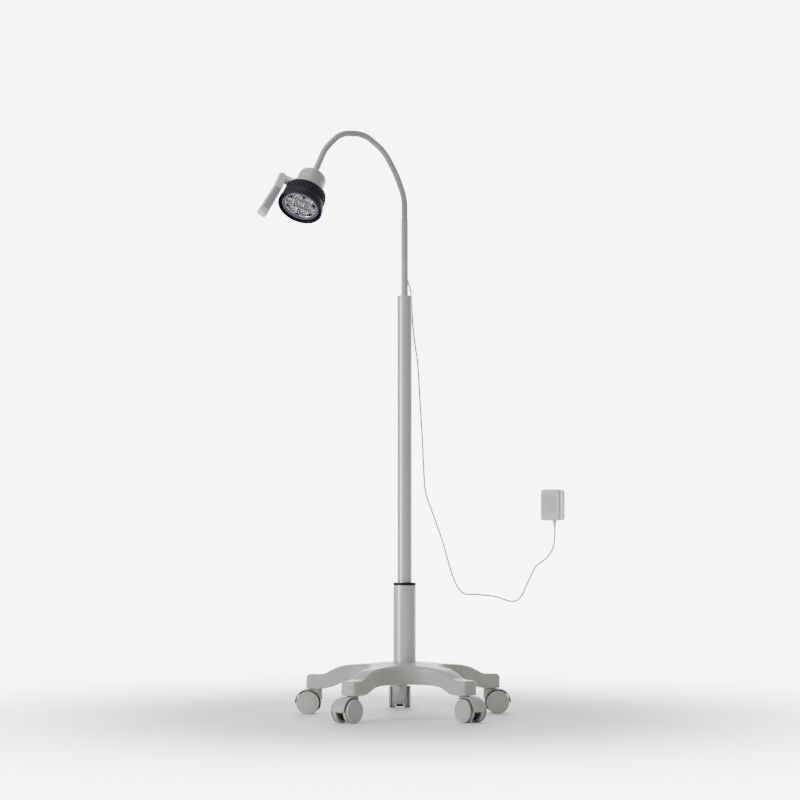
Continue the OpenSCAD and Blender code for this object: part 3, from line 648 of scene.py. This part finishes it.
LEG_W, FILLET_R, LEG_END, CORNER_R = 38.0, 70.0, 220.0, 8.0
STEM_R, STEP, LEDGE, WALL = 200.0, 72.0, 3.0, 4.0
LEGS = [-123 + STEP * i for i in range(5)]
TRAILS = [-130, -50, 0, 90, 180]
TOP_LINE = [(0, 118), (53, 115), (100, 110), (128, 108), (147, 104), (165, 96), (182, 88), (226, 86)]
UNDER_LINE = [(0, 72), (137, 70), (160, 62), (178, 56), (226, 56)]
ARC_PARTS, SIDE_PARTS, CORNER_PARTS, TIP_PARTS = 26, 22, 6, 8


def star_outline(inset):
    """The base's plan drawn in by inset: each leg's side out, tip and side back, then the hollow."""
    w, c, reach = LEG_W / 2 - inset, max(CORNER_R - inset, 1.2), LEG_END - inset
    root = (LEG_W / 2 + FILLET_R) / math.tan(radians(STEP / 2))
    centre = (LEG_W / 2 + FILLET_R) / sin(radians(STEP / 2))
    leg = [(root + (reach - c - root) * k / SIDE_PARTS, -w) for k in range(SIDE_PARTS + 1)]
    for k in range(1, CORNER_PARTS + 1):
        a = radians(90 * k / CORNER_PARTS)
        leg.append((reach - c + c * sin(a), -w + c - c * cos(a)))
    leg += [(reach, (w - c) * (2 * k / TIP_PARTS - 1)) for k in range(1, TIP_PARTS)]
    leg += [(x, -y) for x, y in reversed(leg[: SIDE_PARTS + CORNER_PARTS + 1])]
    hollow = FILLET_R + inset
    middle = (centre * cos(radians(STEP / 2)), centre * sin(radians(STEP / 2)))
    arc = []
    for k in range(1, ARC_PARTS):
        a = radians(-90 - (180 - STEP) * k / ARC_PARTS)
        arc.append((middle[0] + hollow * cos(a), middle[1] + hollow * sin(a)))
    out = []
    for angle in LEGS:
        ca, sa = cos(radians(angle)), sin(radians(angle))
        out += [(x * ca - y * sa, x * sa + y * ca) for x, y in leg + arc]
    return out


def fill_star(pts, faces, loop, height, hub_r):
    """Fills the star in a loop of point indices: rows across each leg, then rays to the hub."""
    n = len(loop) // 5
    side = SIDE_PARTS + CORNER_PARTS + 1
    leg_n = 2 * side + TIP_PARTS - 1
    boundary = []
    for leg in range(5):
        ids = loop[leg * n : leg * n + n]
        before = None
        for j in range(side):
            a, b = ids[j], ids[leg_n - 1 - j]
            if j == side - 1:
                row = ids[j : j + TIP_PARTS + 1]
            else:
                row = [a]
                pa, pb = Vector(pts[a]), Vector(pts[b])
                for k in range(1, TIP_PARTS):
                    q = pa.lerp(pb, k / TIP_PARTS)
                    row.append(len(pts))
                    pts.append((q.x, q.y, height(math.hypot(q.x, q.y))))
                row.append(b)
            if before:
                for k in range(TIP_PARTS):
                    faces.append([before[k], row[k], row[k + 1], before[k + 1]])
            else:
                first = row
            before = row
        boundary += first[:-1] + [ids[leg_n - 1]] + ids[leg_n:]
    rings = [boundary]
    for t in (0.12, 0.26, 0.42, 0.58, 0.72, 0.84, 0.93, 1.0):
        ring = []
        for i in boundary:
            x, y, _ = pts[i]
            r0 = math.hypot(x, y)
            r = r0 + (hub_r - r0) * t
            ring.append(len(pts))
            pts.append((x / r0 * r, y / r0 * r, height(r)))
        rings.append(ring)
    m = len(boundary)
    for a, b in zip(rings, rings[1:]):
        for k in range(m):
            j = (k + 1) % m
            faces.append([a[k], a[j], b[j], b[k]])
    return rings[-1]


def top_z(r):
    return spline(TOP_LINE, r)


def under_z(r):
    return spline(UNDER_LINE, r)


def make_base():
    pts, faces = [], []

    def loop(inset, height):
        start = len(pts)
        for x, y in star_outline(inset):
            pts.append((x, y, height(math.hypot(x, y))))
        return list(range(start, len(pts)))

    def lift_by(line, dz):
        return lambda r: line(r) + dz

    in_wall = WALL + LEDGE
    walls = [
        loop(in_wall + 1.5, lift_by(top_z, -WALL)),
        loop(in_wall, lift_by(top_z, -WALL - 1.5)),
        loop(in_wall, lift_by(under_z, 0.6)),
        loop(in_wall - 0.6, lift_by(under_z, 0)),
        loop(1.2, lift_by(under_z, 0)),
        loop(0.35, lift_by(under_z, 0.35)),
        loop(0, lift_by(under_z, 1.2)),
        loop(0, lift_by(under_z, 8)),
        loop(0, lift_by(top_z, -LEDGE - 8)),
        loop(0, lift_by(top_z, -LEDGE - 1.8)),
        loop(0.5, lift_by(top_z, -LEDGE - 0.5)),
        loop(1.5, lift_by(top_z, -LEDGE)),
        loop(LEDGE - 0.5, lift_by(top_z, -LEDGE)),
        loop(LEDGE, lift_by(top_z, -LEDGE + 0.5)),
        loop(LEDGE + 0.15, lift_by(top_z, -1.3)),
        loop(LEDGE + 0.55, lift_by(top_z, -0.45)),
        loop(LEDGE + 1.5, lift_by(top_z, 0)),
        loop(LEDGE + 4, lift_by(top_z, 0)),
    ]
    n = len(walls[0])
    for a, b in zip(walls, walls[1:]):
        for k in range(n):
            j = (k + 1) % n
            faces.append([a[k], a[j], b[j], b[k]])
    upper = fill_star(pts, faces, walls[-1], top_z, 29)
    lower = fill_star(pts, faces, walls[0], lift_by(top_z, -WALL), 33)

    def ring_below(ids, r, z):
        out = []
        for i in ids:
            x, y, _ = pts[i]
            d = math.hypot(x, y)
            out.append(len(pts))
            pts.append((x / d * r, y / d * r, z))
        return out

    rings = [upper]
    mouth = [(27.4, top_z(27.4)), (26.4, top_z(26) - 0.35), (25.9, top_z(26) - 1.2)]
    mouth += [(25.3, 112), (25.3, 74), (25.9, 72.4), (27, 72)]
    for r, z in mouth:
        rings.append(ring_below(upper, r, z))
    hub = [lower]
    outside = [(31.6, top_z(33) - 5.2), (31, top_z(33) - 7), (31, 73), (30.4, 72.2), (29.5, 72)]
    for r, z in outside:
        hub.append(ring_below(lower, r, z))
    rings += hub[::-1]
    m = len(upper)
    for a, b in zip(rings, rings[1:]):
        for k in range(m):
            j = (k + 1) % m
            faces.append([a[k], a[j], b[j], b[k]])
    shapes = [(pts, faces)]
    for angle in LEGS:
        spot = turn(angle)
        for y in (-5.2, 5.2):
            rings, half = [], 0.65
            for r in range(30, 191, 8):
                low, high = under_z(r) + 1.5, top_z(r) - WALL + 0.5
                near, far = y - half, y + half
                rings.append([(r, near, low), (r, far, low), (r, far, high), (r, near, high)])
            shapes.append(moved(loft(rings), spot))
        for r in (70, 96, 120, 146, 170):
            wide = LEG_W / 2 - in_wall + (0.5 if r > 110 else 8)
            rib = block((r - 0.7, -wide, under_z(r) + 2.5), (r + 0.7, wide, top_z(r) - WALL + 0.5))
            shapes.append(moved(rib, spot))
        boss = [(5.6, 57.2), (6.2, 56.6), (9.6, 56.6), (10.2, 57.2), (10.4, 83), (5.6, 83)]
        shapes.append(moved(lathe(boss, 40), spot @ shift(STEM_R, 0, 0)))
    base = make("base_shell", shapes, "base", FIN["base"], sharp=38)
    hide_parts("star_base")


# ---- casters ----

WHEEL_R, WHEEL_GAP, TRAIL = 25.0, 19.0, 18.5
HOOD_R, HOOD_IN, HOOD_HALF = 29.0, 26.2, 17.0
HOOD_FROM, HOOD_SWEEP = -4, 216  # degrees about the axle


def caster_matrix(i):
    return turn(LEGS[i]) @ shift(STEM_R, 0, 0) @ turn(TRAILS[i] - LEGS[i])


def fender():
    """The hood's shell round the wheels: a crowned strip bent about the axle, narrow at its foot."""
    rings = []
    for k in range(61):
        a = HOOD_FROM + HOOD_SWEEP * k / 60
        half = HOOD_HALF
        if a > 120:
            half -= 7.2 * ((a - 120) / 92) ** 1.3
        if a < 14:
            half -= 2.2 * ((14 - a) / 18) ** 2
        out = HOOD_R
        if a > 95:
            out += 1.4 * sin(radians(min((a - 95) / 75, 1) * 180))
        end = min(a - HOOD_FROM, HOOD_FROM + HOOD_SWEEP - a)
        if end < 3.6:
            out -= 1.2 * (1 - math.sqrt(max(1 - (1 - end / 3.6) ** 2, 0)))
        inner = HOOD_IN
        section = [
            (inner, -half + 0.5), (inner + 0.5, -half),
            (out - 1.5, -half), (out - 0.45, -half + 0.45),
            (out, -half + 1.6), (out + 0.25, -half * 0.5), (out + 0.35, 0), (out + 0.25, half * 0.5),
            (out, half - 1.6), (out - 0.45, half - 0.45),
            (out - 1.5, half), (inner + 0.5, half), (inner, half - 0.5), (inner, 0),
        ]
        ca, sa = cos(radians(a)), sin(radians(a))
        rings.append([(TRAIL + r * ca, y, WHEEL_R + r * sa) for r, y in section])
    return loft(rings)


def hood_web():
    """The solid middle of the hood, between the wheels, open in front of the axle."""
    line = [(-8, 12), (4, 2.8), (TRAIL + 8, 14), (TRAIL + 8.5, 42), (TRAIL + 24, 42)]
    line += [(TRAIL + 18, 48), (TRAIL, 53), (-10, 53), (-11, 28)]
    return rounded(line, 4)


def paint_shade_faces(obj, finish, inside, spot):
    """Paints the faces of a piece whose middle is inside a region with another finish, as painted
    shade.
    """
    obj.data.materials.append(FIN[finish])
    back = spot.inverted()
    for face in obj.data.polygons:
        if inside(back @ (face.center / MM)):
            face.material_index = 1


def make_caster(i):
    """One caster: its hood run together from fender, web and boss, a washer and two wheels."""
    spot = caster_matrix(i)
    tag = str(i + 1)
    web = hood_web()
    rings = [[(x, y, z) for x, z in web] for y in (-8.5, 8.5)]
    boss = [(0, 54.9), (11.6, 54.9), (12.5, 54.5), (13, 53.6), (13, 33), (12, 31), (0, 31)]
    shapes = [fender(), loft(rings), lathe(boss, 56, closed=False)]
    mesh = melted("hood_" + tag, shapes, 0.62, 5, spot)
    hood = dress("caster_hood_" + tag, mesh, "caster_" + tag, FIN["base"])
    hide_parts("caster_" + tag + "_hood")

    # painted shade: the hood's faces round the wheels, its inner side and the web between them, take
    # the black finish
    def inside(p):
        return math.hypot(p.x - TRAIL, p.z - WHEEL_R) < HOOD_IN + 1.5 and p.z < 52

    paint_shade_faces(hood, "black", inside, spot)
    collar = rounded([(5.4, 54.6), (8.4, 54.6), (8.4, 56.2), (5.4, 56.2)], 0.3)
    make("caster_washer_" + tag, lathe(collar, 48), "caster_" + tag, FIN["steel"], spot)
    profile = [(4.05, 0.2), (8.0, 0.2), (8.4, 0.6), (8.6, 9.0), (19.2, 9.0), (19.6, 0.6), (20, 0.1)]
    profile += [(23.2, 0.0), (24.2, 0.3), (24.8, 1.0), (25, 2.2), (25, 7.7), (24.3, 8.0), (24.3, 10.6)]
    profile += [(25, 10.9), (25, 12.6), (24.75, 13.8), (24.1, 14.7), (23.1, 15.2), (22.0, 15.3)]
    profile += [(21.3, 15.1), (20.9, 14.75), (20.5, 14.75), (20.1, 15.0), (15, 15.3), (8, 15.45)]
    profile += [(3, 15.5), (0, 15.5), (0, 12.9), (4.05, 12.9), (4.05, 0.2)]

    # painted shade: the ring groove behind the wheel's face takes the dark finish, darkening the gap
    # under the hood
    def groove(p):
        return math.hypot(p.x, p.y) > 23 and 7.7 < p.z < 10.9

    for side, letter in ((1, "a"), (-1, "b")):
        hub = spot @ shift(TRAIL, side * WHEEL_GAP / 2, WHEEL_R) @ turn(-90 * side, "X")
        wheel = make(
            "caster_wheel_" + tag + letter, lathe(profile, 96, closed=False),
            "wheel_" + tag + letter, FIN["wheel"], hub,
        )
        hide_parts("caster_" + tag + "_wheel_" + letter)
        paint_shade_faces(wheel, "gap_shade", groove, hub)


# ---- column and pole ----


def make_column():
    """The column, the clamping ring on its rim, the pole and its cap, and the neck post."""
    top = 282.5
    wall = [(25, 76), (25, top - 0.4), (24.7, top - 0.05), (24.2, top), (22.5, top), (22.5, 76)]
    piece = make("column_sleeve", lathe(wall), "base", FIN["paint"])
    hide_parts("column_tube")
    ring = [(16.4, 262.5), (22.4, 262.5), (22.4, top), (24.4, top), (25, top + 0.5), (25, top + 4.6)]
    ring += [(24.6, top + 5.5), (23.6, top + 6), (17.4, top + 6), (16.6, top + 5.4), (16.4, top + 4.4)]
    piece = make("column_clamp_ring", lathe(ring), "base", FIN["black"])
    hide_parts("column_collar")
    low, high = 130.3, 901.5
    piece = make(
        "pole_sleeve",
        lathe([(14, low), (16, low), (16, high), (14, high)]),
        "pole", FIN["paint"],
    )
    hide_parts("pole_tube")
    cap = [(13.9, 880), (13.9, high + 0.05), (15.6, high + 0.05), (16.0, high + 0.4)]
    cap += [(16.0, high + 11.4), (15.7, high + 12.4), (14.9, high + 13), (9.2, high + 13)]
    cap += [(8.2, high + 12.9), (7.7, high + 12.3), (7.6, 880)]
    piece = make("pole_end_cap", lathe(cap), "pole", FIN["paint"])
    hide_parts("pole_cap")
    post = [(2.5, 882), (7.5, 882), (7.5, 1081.5), (7.35, 1082.6), (6.95, 1083.8), (6.0, 1084.2)]
    post.append((2.5, 1084.2))
    piece = make("neck_post_tube", lathe(post, 96), "pole", FIN["neck"])
    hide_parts("neck_post")


# ---- neck ----

LINK_LEN, LINK_ROOT, LINK_TIP, NECK_END = 56.0, 7.0, 8.0, 53.0
SLEEVE_R, SLEEVE_DIP, SLEEVE_PITCH, SLEEVE_SIDES = 6.75, 0.42, 2.4, 40
LINK_TURN = [20, 10, 24, 40, 40, 20]
LINK_ROLL = [14, 9, 5, 5, -3, 39]
NECK_ROOT_Z = 1102.0
HEAD_ROLL = -18


def neck_chain():
    """The frames at the neck's joints, as part.scad chains them, and each link's middle line."""
    frames, lines = [], []
    at = shift(0, 0, NECK_ROOT_Z)
    for bend, roll in zip(LINK_TURN, LINK_ROLL):
        at = at @ turn(roll)
        frames.append(at)
        arc_len = LINK_LEN - LINK_ROOT - LINK_TIP
        r = arc_len / radians(bend)
        line = []
        for k in range(57):
            s = LINK_LEN * k / 56
            a = min(max((s - LINK_ROOT) / arc_len, 0), 1) * radians(bend)
            base = min(s, LINK_ROOT) + r * sin(a)
            past = max(s - LINK_ROOT - arc_len, 0)
            p = Vector((-r * (1 - cos(a)) - past * sin(a), 0, base + past * cos(a)))
            line.append(at @ p)
        lines.append(line)
        across, up = -r * (1 - cos(radians(bend))), r * sin(radians(bend))
        end = shift(0, 0, LINK_ROOT) @ shift(across, 0, up)
        at = at @ end @ turn(-bend, "Y") @ shift(0, 0, LINK_TIP)
    frames.append(at)
    lines.append([at @ Vector((0, 0, k)) for k in range(int(NECK_END) + 1)])
    return frames, lines


NECK_FRAMES, NECK_LINES = neck_chain()
HEAD = NECK_FRAMES[6] @ shift(0, 0, NECK_END) @ turn(HEAD_ROLL)


def make_neck():
    """Seven lengths of ribbed sleeve, each from the middle of one link to the middle of the next."""
    half = 28
    whole = [Vector((0, 0, z)) for z in range(1074, 1102)]
    for line in NECK_LINES:
        whole += line[:-1] if line is not NECK_LINES[-1] else line
    fine = []
    for a, b in zip(whole, whole[1:]):
        fine += [a.lerp(b, k / 3) for k in range(3)]
    fine.append(whole[-1])
    # where each length begins and ends, as numbers of points: three to a millimetre
    edges = [10 * 3] + [(half + LINK_LEN * k + half) * 3 for k in range(6)] + [len(fine) - 1]
    around = [TAU * j / SLEEVE_SIDES for j in range(SLEEVE_SIDES)]
    turning = frames_along(fine)
    for k in range(7):
        a, b = int(edges[k]), int(edges[k + 1])
        rings = []
        for i in range(a, b + 1):
            p, u, v, _ = turning[i]
            wave = 0.5 - 0.5 * cos(TAU * (i / 3) / SLEEVE_PITCH)
            r = SLEEVE_R - SLEEVE_DIP * (1 - wave) ** 2
            if k == 0 and i - a < 2:
                r = 6.9
            rings.append([p + u * (r * cos(w)) + v * (r * sin(w)) for w in around])
        skin = loft(rings, caps=k in (0, 6))
        piece = make("neck_sleeve_%d" % (k + 1), skin, None, FIN["neck"])
        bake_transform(piece)
        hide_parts("neck_link_%d" % (k + 1) if k < 6 else "neck_end")


# ---- head ----

RING_REAR = 52.3
RIB_FROM, RIB_TO, RIB_COUNT, RIB_RAMP = 54, 74.5, 36, 1.6
HANDLE_R, CORNER_Z, ARM_Z, HANDLE_TURN = 61.0, 78.0, 44.0, -12
GRIP_LEN = 85


def make_head():
    """The rear housing with its flange, the grommet, the ribbed focus ring and the trim ring."""
    shell = [(6.85, 0.4), (7.4, 0), (20, 0)]
    shell += [(21.5 + 9 * sin(radians(a)), 9 - 9 * cos(radians(a))) for a in range(0, 91, 9)]
    shell += [(30.5, 38.5), (30.8, 40), (31.6, 41.2), (34.0, 43.2), (38.5, 46.2), (41.5, 47.6)]
    shell += [(43.0, 48.0), (43.5, 48.4), (43.6, 49.0), (43.6, 51.4), (43.2, 52.0), (41.2, 52.1)]
    shell += [(41, 52.6), (41, 83.8), (40.6, 84.2), (38.2, 84.2), (38, 83.8), (38, 50), (36, 47.5)]
    shell += [(30, 43.6), (28, 41), (28, 12), (24, 5), (19, 2.5), (6.85, 2.5)]
    piece = make("head_housing", lathe(shell), "head", FIN["housing"], HEAD)
    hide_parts("head_shell")
    grommet = [(6.8, -2.2), (8.2, -2.0), (8.9, -1.2), (9.1, 0.2), (6.8, 0.2)]
    grommet = lathe(rounded(grommet, 0.4), 64)
    make("neck_grommet", grommet, "head", FIN["housing"], HEAD)

    def ribs(a, r, z):
        if r < 43.5 or not RIB_FROM < z < RIB_TO:
            return 0
        ramp = min((z - RIB_FROM) / RIB_RAMP, (RIB_TO - z) / RIB_RAMP, 1)
        wave = max(-1, min(1, sin(RIB_COUNT * a) * 2.2))
        return (0.75 * wave + 0.35) * ramp

    ring = [(41.6, 53), (42.2, RING_REAR), (43, RING_REAR), (43.9, 52.7), (44.2, 53.8)]
    ring += [(44.3, 54.6), (44.35, 55.7), (44.5, 60), (44.6, 66), (44.7, 72.6), (44.75, 73.7)]
    ring += [(44.8, 74.6), (45.2, 75.2), (46.6, 77), (47.7, 80), (48.2, 83), (48.45, 86)]
    ring += [(48.75, 92), (48.9, 93.6), (48.7, 94.5), (48.1, 95), (46.9, 95), (46.2, 94.7)]
    ring += [(45.9, 94), (45.6, 91), (45.2, 84.6), (44.8, 84), (42.2, 83.8), (41.8, 83.2)]
    ring += [(41.7, 60)]
    ring = lathe(ring, 360, bump=ribs)
    piece = make("focus_ring_grip", ring, "focus_ring", FIN["ring"], HEAD, 50)
    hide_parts("focus_ring")
    trim = [(35.9, 89.2), (36.3, 89), (38.3, 88.8), (38.3, 85.0), (41.4, 85.0), (41.4, 88.6)]
    trim += [(41.0, 90.2), (40.2, 91.0), (38.2, 91.1), (36.7, 90.6), (35.95, 90.0)]
    piece = make("head_trim_ring", lathe(trim), "head", FIN["trim"], HEAD)
    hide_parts("trim_ring")


def make_optics():
    """Seven reflector cups in a bright plate, each with a lens in front and a chip behind."""
    lens_r, circle_r = 10.8, 23.5
    cup_r, cup_z, cup_deep = 2.6, 64.8, 23.0  # its small end, clear of the chips at full focus
    spots = [(0, 0)]
    for k in range(6):
        spots.append((circle_r * cos(radians(60 * k)), circle_r * sin(radians(60 * k))))
    rim = [(33.6, 63), (35.2, 63), (35.2, 88.4), (34.8, 88.9), (34.2, 88.9), (33.7, 88.4)]
    plate = [lathe(rim, 96)]
    cup = [(cup_r, cup_z)]
    for k in range(1, 13):
        cup.append((cup_r + 8.1 * (k / 12) ** 0.62, cup_z + cup_deep * (k / 12)))
    cup += [(lens_r + 0.15, 88.5), (lens_r + 0.75, 88.7), (lens_r + 0.9, 88.3), (lens_r + 0.9, 80)]
    cup += [(4, 64.0), (cup_r, 64.0)]
    for x, y in spots:
        plate.append(moved(lathe(cup, 64), shift(x, y, 0)))
    piece = make("reflector_cluster", plate, "lens_carrier", FIN["reflector"], HEAD, 40)
    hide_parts("lens_holder")
    lens = [(0, 89.4), (4, 89.3), (8.5, 88.8), (10.3, 88.3), (10.6, 87.9), (10.6, 87.2)]
    lens += [(10.2, 86.9), (7.4, 86.9), (4.6, 84.2), (2.2, 83.2), (0, 83.0)]
    lenses = [moved(lathe(lens, 64, closed=False), shift(x, y, 0)) for x, y in spots]
    piece = make("lens_cluster", lenses, "lens_carrier", FIN["clear"], HEAD, 40)
    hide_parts("lens_array")


def make_handle():
    """Arm, corner block, grip, ribbed pads and dimmer knob on the side of the head."""
    spot = HEAD @ turn(HANDLE_TURN)
    near, far = HANDLE_R - 9, HANDLE_R + 9
    arm = rounded([(40.5, -13), (near, -9.5), (far, -8), (far, 8), (near, 9.5), (40.5, 13)], 2.0)
    shapes = [prism(arm, ARM_Z, 52)]
    corner = rounded([(near, -8), (far, -8), (far, 8), (near, 8)], 3.0)
    shapes.append(prism(corner, ARM_Z, CORNER_Z + 0.5))
    web = [[(41, y, 51), (HANDLE_R - 6, y, 51), (HANDLE_R - 8.5, y, 60)] for y in (-5.5, 5.5)]
    shapes.append(loft(web))
    mesh = melted("bracket", shapes, 0.6, 4, spot)
    piece = dress("handle_arm", mesh, "head", FIN["handle"])
    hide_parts("handle_bracket")
    grip_at = spot @ shift(HANDLE_R, 0, CORNER_Z) @ turn(6, "Y")
    rings = []
    stations = [(0, 1.2), (0.3, 0.6), (1.2, 0)] + [(z, 0) for z in range(6, 80, 6)]
    stations += [(81, 0), (83, 0.5), (84.3, 1.5), (GRIP_LEN, 3.2)]
    for z, inset in stations:
        half = 9 + 1.6 * z / GRIP_LEN - inset
        outline = round_rect(2 * half, 16 - 2 * inset, 3.6 - min(inset, 2) * 0.5, 6)
        rings.append([(x, y, z) for x, y in outline])
    grip = loft(rings)
    piece = make("handle_grip_body", grip, "head", FIN["handle"], grip_at)
    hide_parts("handle_grip")
    pads = []
    steps = 22 * 6  # 22 ribs, six steps to each
    for s in (-1, 1):
        rows = []
        for k in range(steps + 1):
            z = 4 + 67 * k / steps
            wave = 0.5 - 0.5 * cos(TAU * k / 6)
            end = min(k / 3, (steps - k) / 3, 1)
            y = 7.2 + (0.75 + 0.45 * wave) * end
            half = 6.3 + 0.9 * z / GRIP_LEN - 0.6 * (1 - end)
            rows.append([(-half, s * 7.0, z), (-half, s * (y - 0.3), z), (-half + 0.4, s * y, z),
                         (half - 0.4, s * y, z), (half, s * (y - 0.3), z), (half, s * 7.0, z)])
        pads.append(loft(rows))
    piece = make("handle_grip_pads", pads, "head", FIN["pad"], grip_at, 60)
    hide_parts("grip_pads")

    def knurl(a, r, z):
        return 0.22 * sin(24 * a) if r > 5.4 else 0

    knob = [(0, 38.4), (4.2, 38.4), (4.9, 38.7), (5.3, 39.3), (5.5, 40.0), (5.5, 42.6)]
    knob += [(5.3, 43.3), (4.8, 43.6), (3.8, 43.7), (3.4, 43.4), (0, 43.4)]
    knob = lathe(knob, 120, closed=False, bump=knurl)
    knob_at = spot @ shift(HANDLE_R, 0, 0)
    piece = make("dimmer_knob_cap", knob, "dimmer", FIN["handle"], knob_at)
    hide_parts("dimmer_knob")


make_base()
for index in range(5):
    make_caster(index)
make_column()
make_neck()
make_head()
make_optics()
make_handle()

# ---- CAD nodes that stay ----

STAYING = {
    "caster_sockets": "nylon",
    "column_plug": "base",
    "pole_guide": "nylon",
    "power_inlet": "cord",
    "heat_sink": "sink",
    "driver_board": "board",
    "led_board": "white",
    "led_chips": "chip",
    "board_screws": "steel",
    "plug_pins": "nickel",
}
for index in range(5):
    STAYING["caster_%d_pins" % (index + 1)] = "steel"
for node, finish in STAYING.items():
    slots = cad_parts[node].data.materials
    for index in range(len(slots)):
        slots[index] = FIN[finish]
